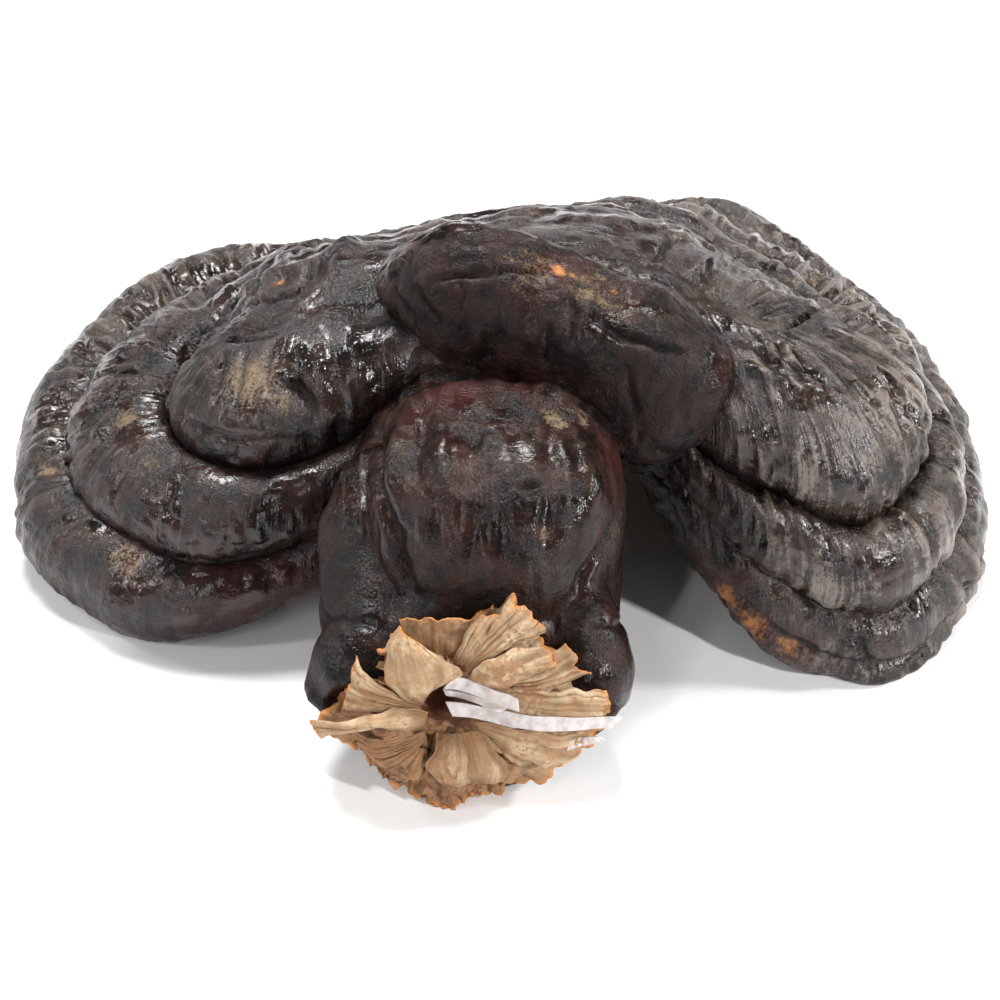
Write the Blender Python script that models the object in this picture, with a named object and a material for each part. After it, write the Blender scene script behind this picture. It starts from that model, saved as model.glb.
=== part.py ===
# Dried black reishi: one grown body of kidney-shaped cap, brow lobe and thick torn stem,
# with three scraps of film caught in the torn foot. Metres, +Z up, resting on z = 0.
# -Y is the front, where the torn foot of the stem points.

import math

import bmesh
import bpy
import numpy as np
from mathutils import Matrix

MM = 0.001

# Driving dimensions, in millimetres and degrees
PLACE = (0.9, -30.2)    # added to x and y, so that the origin is under the middle of the whole
ROLL_OUT = 5.5          # how far the margin roll stands out past its own line
ROLL_DROP = 8.4         # how far the margin roll reaches below its own line
LIP_INSET = 13.0        # width of the rolled-under lip on the underside
LIP_RISE = 6.0          # how far the lip's inner edge is above the foot of the margin roll
LIP_BULGE = 1.4
FOOT_TUCK = 1.0         # how far the margin roll's foot is inside its own line
UNDER_RISE = 21.0       # height of the hollow underside at the middle of the cap
LEAST_FLESH = 18.0      # least thickness of the cap over the hollow underside
GROOVE_SOFT = 0.12      # 0 gives knife-sharp grooves between the growth rolls
GROOVE_WAVE = (0.6, 0.9)          # how far grooves A and B wander in and out
ROLL_WAVE = 0.5                   # how much the middle roll swells and shrinks along its way
MIDDLE_BULGE = 6.8                # how far the middle roll stands out of its two grooves
DOUBLE_TURNS = (0.06, 0.14, 0.40, 0.52)  # turns between which a groove splits it in two at the back
DOUBLE_LESS = 2.4                 # how much less it stands out there
DOUBLE_DENT = 0.8                 # depth of that groove, as a share of the roll's bulge
DOME_EDGE = 0.72        # under 1 makes the dome flatter on top and steeper at its front edge
DOME_STEEP = (0.62, 0.4)          # steepness of the dome at its sides, and how much more in front
DOME_STEEP_LIMITS = (0.25, 1.0)
DOME_OVERHANG = 2.0               # how far the dome's steep edge swells out over groove B
BROW_EDGE = 0.8         # the same for the sections of the brow
KNEE = (-1.0, -12.5, 32)          # middle of the swollen knee of the stem
KNEE_RADII = (24.5, 26.5, 25)
KNEE_EDGES = (0.92, 0.66)         # roundness of the knee low down and at its top, 1 being round
TIER_GROOVES = (0.36, 0.58, 0.80)  # shallow grooves on the dome, as shares of the way out to groove B
TIER_DEPTH = 1.3
TIER_SPREAD = 0.07                # their width, as a share of the same way
TIER_FACING = (0.75, 0.6)         # share of that depth at the sides, and what facing the back adds
TIER_FACING_LIMITS = (0.3, 1.0)
HOLE = (-9, -46, 19)              # middle of the dark hole in the torn face
FACE_TILT = 23.0                  # lean of the torn face back from upright
HOLE_RADIUS = 5.0
HOLE_DEPTH = 9.0
PLEATS = 21                       # folds of torn tissue round the hole
PLEAT_HEIGHT = 2.2
PLEAT_CREST = 0.7                 # how far across a pleat its crest lies
TISSUE_BODY = (2.5, 4.5)          # height of the tissue at its edges, and what its middle adds
RIM_DROP = 0.45                   # share of its height that the tissue loses at the rim
FLAP_STAND = 4.0                  # height of a flap's root over the torn face
FLAP_THICK = 1.6
FILM_THICK = 0.7
WELD = 0.03                       # points nearer than this are one
FILM_GAP = 0.9                    # how far the film stands off the pleats

# Counts of faces
CAP_COLUMNS = 104
CAP_ROWS = (8, 8, 6, 3, 3)        # dome, middle roll, margin roll, lip, underside
STEM_COLUMNS = 40
TEAR_COLUMNS = 96

# Twenty stations round the cap, seen from above: from the left end by the back to the right
# end (station 10), then along the front past the notch to the left again. Each row is the
# margin roll's line (x, y, z), then how far out and how high groove A is, then groove B.
# Stations 15 and 16 lie under the brow, where the stem joins.
STATIONS = (
    (-97.5, 45.5, 7.5, 0.81, 21, 0.36, 33),
    (-91, 69, 7.5, 0.79, 23, 0.37, 35),
    (-77, 87, 9.6, 0.77, 26, 0.38, 39),
    (-56.5, 99.5, 15, 0.85, 25, 0.52, 43),
    (-27, 98, 14, 0.84, 26, 0.54, 49),
    (2, 99, 13, 0.84, 27, 0.56, 52.5),
    (30, 111, 18, 0.90, 29, 0.53, 50),
    (53.5, 109.5, 20, 0.87, 31, 0.46, 47),
    (75.5, 90.5, 11.5, 0.87, 28, 0.42, 43),
    (89.5, 67, 7.4, 0.84, 26, 0.47, 40),
    (95.5, 41.5, 7.4, 0.90, 22, 0.62, 35),
    (93.5, 11.5, 7.5, 0.93, 18, 0.80, 29),
    (76.5, -15, 7.0, 0.98, 14, 0.82, 26),
    (55, -12.5, 11, 0.98, 20, 0.80, 32),
    (38.5, 0, 22.5, 1.00, 31, 0.90, 39),
    (22, 14, 41, 0.96, 46, 0.80, 49),
    (-14, 14, 26, 0.96, 34, 0.80, 46),
    (-38, -2.5, 16.5, 0.96, 22, 0.74, 35),
    (-65.5, -7.5, 7.8, 0.90, 19, 0.59, 33),
    (-91.5, 12.5, 7.6, 0.87, 20, 0.43, 32.5),
)
# The line that the growth rolls grew out from, left to right: (x, y, z)
SPINE = (
    (-48, 28, 50), (-47.5, 28, 50.5), (-45, 27, 53), (-36, 28, 57), (-20, 31, 62), (2, 34, 65),
    (25, 33, 64), (39, 30, 61), (47, 28, 57), (51.5, 29, 54), (52.5, 30, 53),
)
# The brow, the second lobe over the stem, from its left tip to its right:
# (x, y, z, half depth, half height)
BROW = (
    (-19.5, 28, 56, 4, 6), (-16, 27.2, 58.5, 9, 11.5), (-10, 26, 60, 12.5, 14.5), (-1, 24, 60.5, 13, 15),
    (8, 20.5, 58.5, 13, 14.5), (16, 16.3, 56, 13, 15.5), (24, 12.3, 53, 13.5, 18), (32, 9.3, 51.5, 12.5, 17),
    (40, 7.5, 51, 9.5, 12), (46, 6.5, 50.5, 4, 5),
)
# The ledge under the brow's left end: (x, y, z, share of its radius)
TONGUE = (
    (-50, 20, 40, 0.8), (-42, 18.5, 44, 1), (-34, 18, 46.5, 1), (-25, 18.5, 48.5, 1), (-16, 19, 50, 1),
    (-6, 21, 51, 0.9),
)
TONGUE_RADIUS = 6.0
# The stem from inside the cap to its torn foot:
# (x, y, z, half width, half height, lean, how much narrower its top and bottom are)
STEM = (
    (-4, 36, 42, 16, 10, 0, 0), (-4, 24, 38, 19, 15, 0, 0), (-4, 12, 34, 23, 19, 0, 0),
    (-4.5, 2, 30, 27, 21, 2, 0.1), (-5.5, -8, 26, 29, 21, 6, 0.2),
    (-5.5, -18, 23, 28.5, 20, 10, 0.3), (-5.5, -27, 20.5, 27.5, 19, 14, 0.4),
    (-6, -35, 19, 28, 18.6, 18, 0.42), (-6.6, -41, 18.4, 29.4, 19.2, FACE_TILT, 0.42),
    (-6.8, -44.5, 18.0, 28.6, 18.8, FACE_TILT, 0.42),
)
# The two skirts that run down the stem beside the knee to the torn foot:
# (x, y, z, half width, half thickness)
SKIRTS = (
    ((-21, 6, 38, 5, 5), (-21.5, -3, 36, 8.5, 10), (-23.5, -13, 31, 10, 12), (-24, -24, 25.5, 9.5, 11.5),
     (-24, -33, 20.5, 9, 12), (-25.5, -40.5, 18.5, 9.3, 10.5), (-25.5, -43.5, 17, 6.5, 7.5)),
    ((15, 4, 38, 6, 6), (16, -6, 35, 8, 10), (14.5, -18, 29, 7.5, 11), (13.5, -28, 25, 7.5, 11),
     (16, -36, 21, 7.8, 12), (17.5, -41, 19, 7.5, 10), (17, -43.5, 17, 6, 7)),
)
# The torn rim round the hole, as (across, up) on the leaning face, against the clock from the right
RIM = (
    (29, -3), (25, 4), (22, 9), (16, 12), (11.5, 20), (6, 17), (0, 14), (-9, 14.5), (-13, 10), (-19, 4),
    (-25, -5), (-18, -8), (-14, -14), (-7, -18.5), (0, -20), (7, -18.5), (14, -16), (21, -13), (27, -8),
)
# Big curled flaps on the torn face: (turn in degrees, root and tip distance, width, lift, roll)
FLAPS = (
    (126, 5, 18.5, 13, 5.5, 0.8), (64, 7, 22, 10, 3.6, -0.7), (22, 8, 25, 9, 3.0, -0.6),
    (-168, 7, 21, 8, 3.4, 0.6), (-72, 7, 18.5, 9, 3.6, 0.5), (-122, 8, 18, 8, 3.2, -0.5),
)
# Film strips on the torn face: name, ends as (across, up), width at each end
FILMS = (
    ("film_wide", (0, 5.2), (13.2, 1.2), 4.2, 2.4),
    ("film_long", (-0.4, -0.6), (31.5, -3.6), 3.6, 1.8),
    ("film_tail", (21.5, -6.6), (28.0, -5.2), 1.6, 1.2),
)

SKIN = (0.035, 0.018, 0.016)
FILM = (0.80, 0.78, 0.76)


def clear_scene():
    for obj in list(bpy.data.objects):
        bpy.data.objects.remove(obj, do_unlink=True)


def cubic(rows, at):
    """Smooth curve through rows of values at the fractional row numbers in at, ends held."""
    rows = np.asarray(rows, float)
    last = len(rows) - 1
    low = np.clip(np.floor(at).astype(int), 0, last - 1)
    t = (at - low)[:, None]
    p0, p1, p2, p3 = (rows[np.clip(low + k, 0, last)] for k in (-1, 0, 1, 2))
    return 0.5 * (2 * p1 + (p2 - p0) * t + (2 * p0 - 5 * p1 + 4 * p2 - p3) * t**2
                  + (3 * p1 - p0 - 3 * p2 + p3) * t**3)


def cubic_loop(rows, at):
    """The same through a closed loop of rows."""
    rows = np.asarray(rows, float)
    padded = np.concatenate([rows[-1:], rows, rows[:2]])
    return cubic(padded, np.mod(at, len(rows)) + 1)


def ripples(around, low, high, count, seed):
    """Uneven waves of low to high cycles that close on themselves as around goes from 0 to 1."""
    rng = np.random.default_rng(seed)
    cycles = rng.integers(low, high + 1, count)
    phases = rng.uniform(0, 2 * math.pi, count)
    return sum(np.sin(2 * math.pi * c * around + p) for c, p in zip(cycles, phases)) / math.sqrt(count)


def smooth_step(value, low, high):
    share = np.clip((value - low) / (high - low), 0, 1)
    return share * share * (3 - 2 * share)


def roll(start, end, bulge, rows, dent=0.0, skew=1.0):
    """Points of one roll from start to end of a section, bulging outwards between tight grooves.
    dent is how deep a shallow groove runs along its middle, as a share of the bulge; a skew over
    1 moves its crest towards the start."""
    turn = np.linspace(GROOVE_SOFT, math.pi - GROOVE_SOFT, rows + 1)
    along = (math.cos(GROOVE_SOFT) - np.cos(turn)) / (2 * math.cos(GROOVE_SOFT))
    height = (np.sin(turn) - math.sin(GROOVE_SOFT)) / (1 - math.sin(GROOVE_SOFT))
    chord = end - start
    outward = np.stack([-chord[:, 1], chord[:, 0]], -1) / np.linalg.norm(chord, axis=1)[:, None]
    height = height[:, None] * (1 - dent * np.exp(-((along - 0.5) / 0.16) ** 2)[:, None])
    points = start[None] + chord[None] * (along**skew)[:, None, None]
    return points + outward[None] * (bulge[None] * height)[..., None]


def cap_rings(columns, rows):
    """The cap as rings of points, in millimetres: from its spine out over the growth rolls to
    the margin, round the lip and back in along the hollow underside."""
    turn = np.arange(columns) / columns
    station = cubic_loop(STATIONS, turn * len(STATIONS))
    fold = np.minimum(turn, 1 - turn) * len(STATIONS)
    spine = cubic(SPINE, fold)
    out = station[:, :2] - spine[:, :2]
    reach = np.linalg.norm(out, axis=1)
    out /= reach[:, None]
    wave = ripples(turn, 6, 26, 6, 3)
    low_z = station[:, 2] - ROLL_DROP
    groove_a = np.stack([reach * station[:, 3] + GROOVE_WAVE[0] * wave, station[:, 4]], -1)
    wave_b = GROOVE_WAVE[1] * ripples(turn, 4, 17, 5, 8)
    groove_b = np.stack([reach * station[:, 5] + wave_b, station[:, 6]], -1)
    foot = np.stack([reach - FOOT_TUCK, low_z + 0.35 * wave], -1)
    lip = np.stack([reach - LIP_INSET * np.clip(reach / 45, 0.45, 1), low_z + LIP_RISE], -1)
    base_z = np.minimum(UNDER_RISE, spine[:, 2] - LEAST_FLESH)

    dome_rows, middle_rows, margin_rows, lip_rows, under_rows = rows
    share = np.linspace(0, 1, dome_rows + 1)[:, None]
    steep = np.clip(DOME_STEEP[0] - DOME_STEEP[1] * out[:, 1], *DOME_STEEP_LIMITS)[None]
    rise = spine[:, 2] - groove_b[:, 1]
    groove = sum(np.exp(-((share - centre) / TIER_SPREAD) ** 2) for centre in TIER_GROOVES)
    facing = np.clip(TIER_FACING[0] + TIER_FACING[1] * out[:, 1], *TIER_FACING_LIMITS)
    wide = np.sin(share * math.pi / 2) ** DOME_EDGE
    tall = np.cos(share * math.pi / 2) ** DOME_EDGE
    dome_r = groove_b[:, 0] * (steep * wide + (1 - steep) * share)
    dome_r += DOME_OVERHANG * steep * np.sin(math.pi * share**4)
    dome_z = groove_b[:, 1] + rise * (steep * tall + (1 - steep) * (1 - share**1.6))
    dome_z -= TIER_DEPTH * groove * facing
    double = smooth_step(turn, *DOUBLE_TURNS[:2]) * (1 - smooth_step(turn, *DOUBLE_TURNS[2:]))
    bulge = MIDDLE_BULGE - DOUBLE_LESS * double + ROLL_WAVE * wave
    middle = roll(groove_b, groove_a, bulge, middle_rows, DOUBLE_DENT * double, 1.25)
    lean = (groove_a[:, 1] - foot[:, 1]) / np.linalg.norm(foot - groove_a, axis=1)
    out_bulge = (reach + ROLL_OUT - (groove_a[:, 0] + foot[:, 0]) / 2) / np.maximum(lean, 0.6)
    margin = roll(groove_a, foot, out_bulge, margin_rows)
    tuck = roll(foot, lip, np.full(columns, LIP_BULGE), lip_rows)
    share = np.linspace(0, 1, under_rows + 1)[:, None]
    under_r = lip[:, 0] * (1 - share)
    under_z = lip[:, 1] + (base_z - lip[:, 1]) * np.sin(share * math.pi / 2)
    section = np.concatenate([
        np.stack([dome_r, dome_z], -1), middle[1:], margin[1:], tuck[1:],
        np.stack([under_r, under_z], -1)[1:],
    ])
    plan = spine[None, :, :2] + out[None] * section[..., :1]
    return np.concatenate([plan, section[..., 1:]], -1)


def closed_mesh(name, rings, cap_ends):
    """A mesh object through rings of equal counts, in millimetres, its faces turned outwards.
    Without cap_ends, each end ring already folds flat on a line and is zipped shut."""
    count, columns = rings.shape[:2]
    points = list(rings.reshape(-1, 3))
    faces = []
    for r in range(count - 1):
        for c in range(columns):
            d = (c + 1) % columns
            faces.append((r * columns + c, r * columns + d, (r + 1) * columns + d, (r + 1) * columns + c))
    if cap_ends:
        for ring, first in ((rings[0], 0), (rings[-1], (count - 1) * columns)):
            points.append(ring.mean(0))
            faces += [(len(points) - 1, first + c, first + (c + 1) % columns) for c in range(columns)]
    mesh = bpy.data.meshes.new(name)
    mesh.from_pydata([tuple(p * MM) for p in points], [], faces)
    bm = bmesh.new()
    bm.from_mesh(mesh)
    bmesh.ops.remove_doubles(bm, verts=bm.verts, dist=WELD * MM)
    bmesh.ops.dissolve_degenerate(bm, edges=bm.edges, dist=WELD * MM)
    bmesh.ops.recalc_face_normals(bm, faces=bm.faces)
    bm.to_mesh(mesh)
    bm.free()
    obj = bpy.data.objects.new(name, mesh)
    bpy.context.scene.collection.objects.link(obj)
    return obj


def build_cap():
    return closed_mesh("cap", cap_rings(CAP_COLUMNS, CAP_ROWS), cap_ends=False)


def build_lobe(name, rows, around, along, edge, lumps):
    """A lump lofted along a line of rows (x, y, z, half width, half thickness); an edge under 1
    makes its sections squarer than an ellipse."""
    line = cubic(rows, np.linspace(0, len(rows) - 1, along))
    tangent = np.gradient(line[:, :3], axis=0)
    tangent /= np.linalg.norm(tangent, axis=1)[:, None]
    side = np.cross(tangent, [0, 0, 1.0])
    side /= np.linalg.norm(side, axis=1)[:, None]
    up = np.cross(side, tangent)
    angle = np.arange(around) / around * 2 * math.pi
    across = np.sign(np.cos(angle)) * np.abs(np.cos(angle)) ** edge
    above = np.sign(np.sin(angle)) * np.abs(np.sin(angle)) ** edge
    steps = np.linspace(0, 1, along)[:, None]
    lump = 1 + lumps * ripples(angle[None] / (2 * math.pi) + 1.61 * steps, 1, 3, 4, 21)
    rings = (line[:, None, :3]
             + (line[:, None, 3] * across * lump)[..., None] * side[:, None]
             + (line[:, None, 4] * above * lump)[..., None] * up[:, None])
    return closed_mesh(name, rings, cap_ends=True)


def build_stem(along=15):
    line = cubic(STEM, np.linspace(0, len(STEM) - 1, along))
    around = np.arange(STEM_COLUMNS) / STEM_COLUMNS
    angle = around * 2 * math.pi
    lump = 1 + 0.02 * ripples(around, 2, 7, 4, 5)
    below = np.clip(-np.sin(angle), 0, 1) * (0.57 - 0.28 * np.cos(angle))
    narrow = 1 - line[:, None, 6] * (np.clip(np.sin(angle), 0, 1) + below)
    wide = line[:, None, 3] * np.cos(angle) * lump * narrow
    tall = line[:, None, 4] * np.sin(angle) * lump
    lean = np.radians(line[:, None, 5])
    rings = np.stack([line[:, None, 0] + wide, line[:, None, 1] + tall * np.sin(lean),
                      line[:, None, 2] + tall * np.cos(lean)], -1)
    return closed_mesh("stem", rings, cap_ends=True)


def build_tongue():
    """The ledge of the left lobe that runs in under the brow, over the stem."""
    curve = bpy.data.curves.new("tongue", "CURVE")
    curve.dimensions = "3D"
    curve.bevel_depth = TONGUE_RADIUS * MM
    curve.bevel_resolution = 3
    curve.use_fill_caps = True
    spline = curve.splines.new("POLY")
    spline.points.add(len(TONGUE) - 1)
    for point, (x, y, z, size) in zip(spline.points, TONGUE):
        point.co = (x * MM, y * MM, z * MM, 1)
        point.radius = size
    guide = bpy.data.objects.new("guide", curve)
    bpy.context.scene.collection.objects.link(guide)
    mesh = bpy.data.meshes.new_from_object(guide.evaluated_get(bpy.context.evaluated_depsgraph_get()))
    bm = bmesh.new()
    bm.from_mesh(mesh)
    bmesh.ops.remove_doubles(bm, verts=bm.verts, dist=WELD * MM)
    bmesh.ops.recalc_face_normals(bm, faces=bm.faces)
    bm.to_mesh(mesh)
    bm.free()
    bpy.data.objects.remove(guide, do_unlink=True)
    obj = bpy.data.objects.new("tongue", mesh)
    bpy.context.scene.collection.objects.link(obj)
    return obj


def build_knee():
    """A ball that is squarer towards its top back and rounder down its front."""
    bpy.ops.mesh.primitive_uv_sphere_add(segments=28, ring_count=18, radius=1.0)
    obj = bpy.context.object
    obj.name = "knee"
    points = np.array([v.co for v in obj.data.vertices])
    top = smooth_step(0.6 * points[:, 1] + 0.8 * points[:, 2], -0.3, 0.5)[:, None]
    power = KNEE_EDGES[0] + (KNEE_EDGES[1] - KNEE_EDGES[0]) * top
    points = np.sign(points) * np.abs(points) ** power
    points = (np.array(KNEE) + points * KNEE_RADII) * MM
    obj.data.vertices.foreach_set("co", points.ravel())
    return obj


def on_face(across, up, off):
    """World points for places on the leaning torn face, off being the distance out from it."""
    tilt = math.radians(FACE_TILT)
    across, up, off = np.broadcast_arrays(across, up, off)
    return np.stack([HOLE[0] + across, HOLE[1] + up * math.sin(tilt) - off * math.cos(tilt),
                     HOLE[2] + up * math.cos(tilt) + off * math.sin(tilt)], -1)


def rim_reach(turn):
    """Distance from the hole's middle to the torn rim at the turns given, 0 to 1 from the right."""
    rim = cubic_loop(RIM, np.linspace(0, len(RIM), 721)[:-1])
    at = np.mod(np.arctan2(rim[:, 1], rim[:, 0]) / (2 * math.pi), 1)
    order = np.argsort(at)
    return np.interp(turn, at[order], np.hypot(rim[:, 0], rim[:, 1])[order], period=1)


def pleats(turn, share):
    """Which torn sheet each place belongs to, and how far across it the place is, 0 to 1."""
    widths = np.random.default_rng(30).uniform(0.45, 1.6, PLEATS)
    edges = np.concatenate([[0.0], np.cumsum(widths) / widths.sum()])
    swing = np.mod(turn + 0.025 * share * np.sin(2 * math.pi * turn + 0.8), 1)
    number = np.clip(np.searchsorted(edges, swing, side="right") - 1, 0, PLEATS - 1)
    return number, (swing - edges[number]) / (edges[number + 1] - edges[number])


def pleat_height(turn, share):
    """Height of the torn tissue over its face, share going from 0 at the hole to 1 at the rim.
    Each sheet rises from one edge and drops off steeply at the other, over the next sheet."""
    number, across = pleats(turn, share)
    height = np.random.default_rng(31).uniform(0.5, 1.5, PLEATS)[number]
    fold = np.where(across < PLEAT_CREST, across / PLEAT_CREST, (1 - across) / (1 - PLEAT_CREST))
    body = TISSUE_BODY[0] + TISSUE_BODY[1] * np.sin(math.pi * np.clip(share, 0, 1) ** 0.8)
    return body * (1 + 0.18 * ripples(turn, 1, 4, 3, 33)) + PLEAT_HEIGHT * height * (fold - 0.5)


def build_tear():
    turn = np.arange(TEAR_COLUMNS) / TEAR_COLUMNS
    ragged = np.random.default_rng(34).uniform(-0.07, 0.07, PLEATS)[pleats(turn, 1.0)[0]]
    reach = rim_reach(turn) * (1 + ragged)
    rings = []
    for radius, off in ((0.4 * HOLE_RADIUS, -HOLE_DEPTH), (0.9 * HOLE_RADIUS, 0.75 * -HOLE_DEPTH)):
        rings.append((np.full_like(turn, radius), np.full_like(turn, off)))
    for share in (0.0, 0.14, 0.3, 0.46, 0.62, 0.78, 0.9, 1.0):
        radius = HOLE_RADIUS + (reach - HOLE_RADIUS) * share
        rings.append((radius, pleat_height(turn, np.full_like(turn, share)) * (1 - RIM_DROP * share**4)))
    rings.append((reach * 0.95, np.full_like(turn, -1.5)))
    rings.append((reach * 0.72, np.full_like(turn, -6.0)))
    rings.append((reach * 0.4, np.full_like(turn, -HOLE_DEPTH - 4.0)))
    angle = turn * 2 * math.pi
    rings = np.array([on_face(r * np.cos(angle), r * np.sin(angle), off) for r, off in rings])
    return closed_mesh("tear", rings, cap_ends=True)


def build_flap(index, degrees, root, tip, width, lift, roll_over):
    """One torn sheet that stands off the face and curls over to a side, sunk in at its root."""
    along, across = np.linspace(0, 1, 7), np.linspace(-1, 1, 7)
    angle = math.radians(degrees)
    s, w = np.meshgrid(along, across, indexing="ij")
    spread = width / 2 * np.sin(math.pi * (0.16 + 0.72 * s)) * (1 + 0.12 * ripples(s, 1, 3, 2, 40 + index))
    radius = root + (tip - root) * s
    side = w * spread
    stand = FLAP_STAND + lift * np.sin(math.pi * s * 0.8) * (0.45 + 0.55 * roll_over * w) - 1.2 * (1 - s)
    rows = []
    for thick in (0.0, -FLAP_THICK):
        rows.append(on_face(radius * math.cos(angle) - side * math.sin(angle),
                            radius * math.sin(angle) + side * math.cos(angle), stand + thick))
    rings = np.concatenate([rows[0], rows[1][:, ::-1]], axis=1)
    return closed_mesh(f"flap{index}", rings, cap_ends=True)


def unite(name, pieces):
    """One closed body of all the pieces."""
    body = pieces[0]
    body.name = name
    body.data.name = name
    group = bpy.data.collections.new("pieces")
    for piece in pieces[1:]:
        group.objects.link(piece)
    union = body.modifiers.new("union", "BOOLEAN")
    union.operation = "UNION"
    union.operand_type = "COLLECTION"
    union.collection = group
    union.solver = "EXACT"
    mesh = bpy.data.meshes.new_from_object(body.evaluated_get(bpy.context.evaluated_depsgraph_get()))
    body.modifiers.clear()
    body.data = mesh
    bm = bmesh.new()
    bm.from_mesh(mesh)
    bmesh.ops.remove_doubles(bm, verts=bm.verts, dist=WELD * MM)
    bmesh.ops.dissolve_degenerate(bm, edges=bm.edges, dist=WELD * MM)
    bm.to_mesh(mesh)
    bm.free()
    for piece in pieces[1:]:
        bpy.data.objects.remove(piece, do_unlink=True)
    bpy.data.collections.remove(group)
    return body


def set_down(body):
    """Presses what hangs below the ground flat on to it."""
    points = np.array([v.co for v in body.data.vertices])
    points[:, 2] = np.maximum(points[:, 2], 0)
    body.data.vertices.foreach_set("co", points.ravel())
    body.data.update()


def build_film(name, start, end, start_width, end_width):
    """A thin strip of film that follows the torn tissue at a small distance."""
    steps = 9
    s = np.linspace(0, 1, steps)[:, None]
    across = start[0] + (end[0] - start[0]) * s
    up = start[1] + (end[1] - start[1]) * s
    heading = np.array([end[0] - start[0], end[1] - start[1]])
    heading = heading / np.linalg.norm(heading)
    half = (start_width + (end_width - start_width) * s) / 2
    edges = np.array([-1.0, 0.0, 1.0])[None]
    a = across - heading[1] * half * edges
    b = up + heading[0] * half * edges
    turn = np.mod(np.arctan2(b, a) / (2 * math.pi), 1)
    share = np.clip((np.hypot(a, b) - HOLE_RADIUS) / (rim_reach(turn) - HOLE_RADIUS), 0, 1)
    stand = (pleat_height(turn, share) + PLEAT_HEIGHT).max(1, keepdims=True) + FILM_GAP
    rings = np.concatenate([on_face(a, b, stand + FILM_THICK), on_face(a, b, stand)[:, ::-1]], axis=1)
    return closed_mesh(name, rings, cap_ends=True)


def finish(obj, material_name, colour, roughness, coat, group):
    """Material, smooth shading and a place in the collection."""
    material = bpy.data.materials.new(material_name)
    material.use_nodes = True
    shader = material.node_tree.nodes["Principled BSDF"]
    shader.inputs["Base Color"].default_value = (*colour, 1)
    shader.inputs["Roughness"].default_value = roughness
    shader.inputs["Coat Weight"].default_value = coat
    obj.data.materials.clear()
    obj.data.materials.append(material)
    obj.data.shade_smooth()
    obj.data.set_sharp_from_angle(angle=math.radians(50))
    for holder in list(obj.users_collection):
        holder.objects.unlink(obj)
    group.objects.link(obj)


def main():
    clear_scene()
    group = bpy.data.collections.new("dried_reishi")
    bpy.context.scene.collection.children.link(group)
    pieces = [build_cap(), build_lobe("brow", BROW, 22, 24, BROW_EDGE, 0.022)]
    pieces += [build_lobe(f"skirt{i}", skirt, 16, 14, 0.9, 0.02) for i, skirt in enumerate(SKIRTS)]
    pieces += [build_tongue(), build_stem(), build_knee(), build_tear()]
    pieces += [build_flap(i, *flap) for i, flap in enumerate(FLAPS)]
    body = unite("reishi_body", pieces)
    set_down(body)
    finish(body, "lacquered_skin", SKIN, 0.35, 0.6, group)
    for name, start, end, start_width, end_width in FILMS:
        film = build_film(name, start, end, start_width, end_width)
        finish(film, name, FILM, 0.3, 0.0, group)
    for obj in group.objects:
        obj.data.transform(Matrix.Translation((PLACE[0] * MM, PLACE[1] * MM, 0)))


main()
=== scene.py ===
# Dried black reishi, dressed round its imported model.
# Shapes are worked out in millimetres in the mushroom's own frame, where -Y points along the torn
# foot, and are laid on the model by the shift in "place".
import itertools
import math
from types import SimpleNamespace

import bpy
import numpy as np
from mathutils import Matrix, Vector
from mathutils.kdtree import KDTree


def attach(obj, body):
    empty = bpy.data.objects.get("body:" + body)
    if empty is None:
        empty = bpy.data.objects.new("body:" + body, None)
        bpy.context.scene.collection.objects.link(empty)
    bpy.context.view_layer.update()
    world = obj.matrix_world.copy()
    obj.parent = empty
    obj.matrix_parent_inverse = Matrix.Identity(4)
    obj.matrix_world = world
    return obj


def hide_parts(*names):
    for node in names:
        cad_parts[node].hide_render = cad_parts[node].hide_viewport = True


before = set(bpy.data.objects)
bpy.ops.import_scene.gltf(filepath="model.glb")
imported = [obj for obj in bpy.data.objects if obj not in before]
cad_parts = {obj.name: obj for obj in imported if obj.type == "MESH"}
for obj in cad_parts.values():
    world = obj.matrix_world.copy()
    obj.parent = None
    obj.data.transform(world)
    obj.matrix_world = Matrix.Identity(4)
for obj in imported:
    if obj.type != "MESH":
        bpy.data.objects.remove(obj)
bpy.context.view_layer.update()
mm = 0.001
place = np.array([0.9, -30.2, 0.0])
print("frame loaded")


# Curves and noise

def curveThrough(rows, at):
    # smooth curve through rows of values at the fractional row numbers in at, ends held
    rows = np.asarray(rows, float)
    last = len(rows) - 1
    low = np.clip(np.floor(at).astype(int), 0, last - 1)
    t = (at - low)[:, None]
    p0, p1, p2, p3 = (rows[np.clip(low + k, 0, last)] for k in (-1, 0, 1, 2))
    return 0.5 * (2 * p1 + (p2 - p0) * t + (2 * p0 - 5 * p1 + 4 * p2 - p3) * t**2
                  + (3 * p1 - p0 - 3 * p2 + p3) * t**3)


def curveSteps(rows, count):
    return curveThrough(rows, np.linspace(0, len(rows) - 1, count))


def curveLoop(rows, at):
    rows = np.asarray(rows, float)
    padded = np.concatenate([rows[-1:], rows, rows[:2]])
    return curveThrough(padded, np.mod(at, len(rows)) + 1)


def ripples(around, low, high, count, seed):
    # uneven waves that close on themselves as around goes from 0 to 1
    rng = np.random.default_rng(seed)
    cycles = rng.integers(low, high + 1, count)
    phases = rng.uniform(0, 2 * math.pi, count)
    return sum(np.sin(2 * math.pi * c * around + p) for c, p in zip(cycles, phases)) / math.sqrt(count)


def ease(value, low, high):
    share = np.clip((value - low) / (high - low), 0, 1)
    return share * share * (3 - 2 * share)


def between(value, rise, fall):
    # 1 between the two ramps and 0 outside them
    return ease(value, *rise) * (1 - ease(value, *fall))


def bell(value, centre, width):
    return np.exp(-(((value - centre) / width) ** 2))


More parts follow.
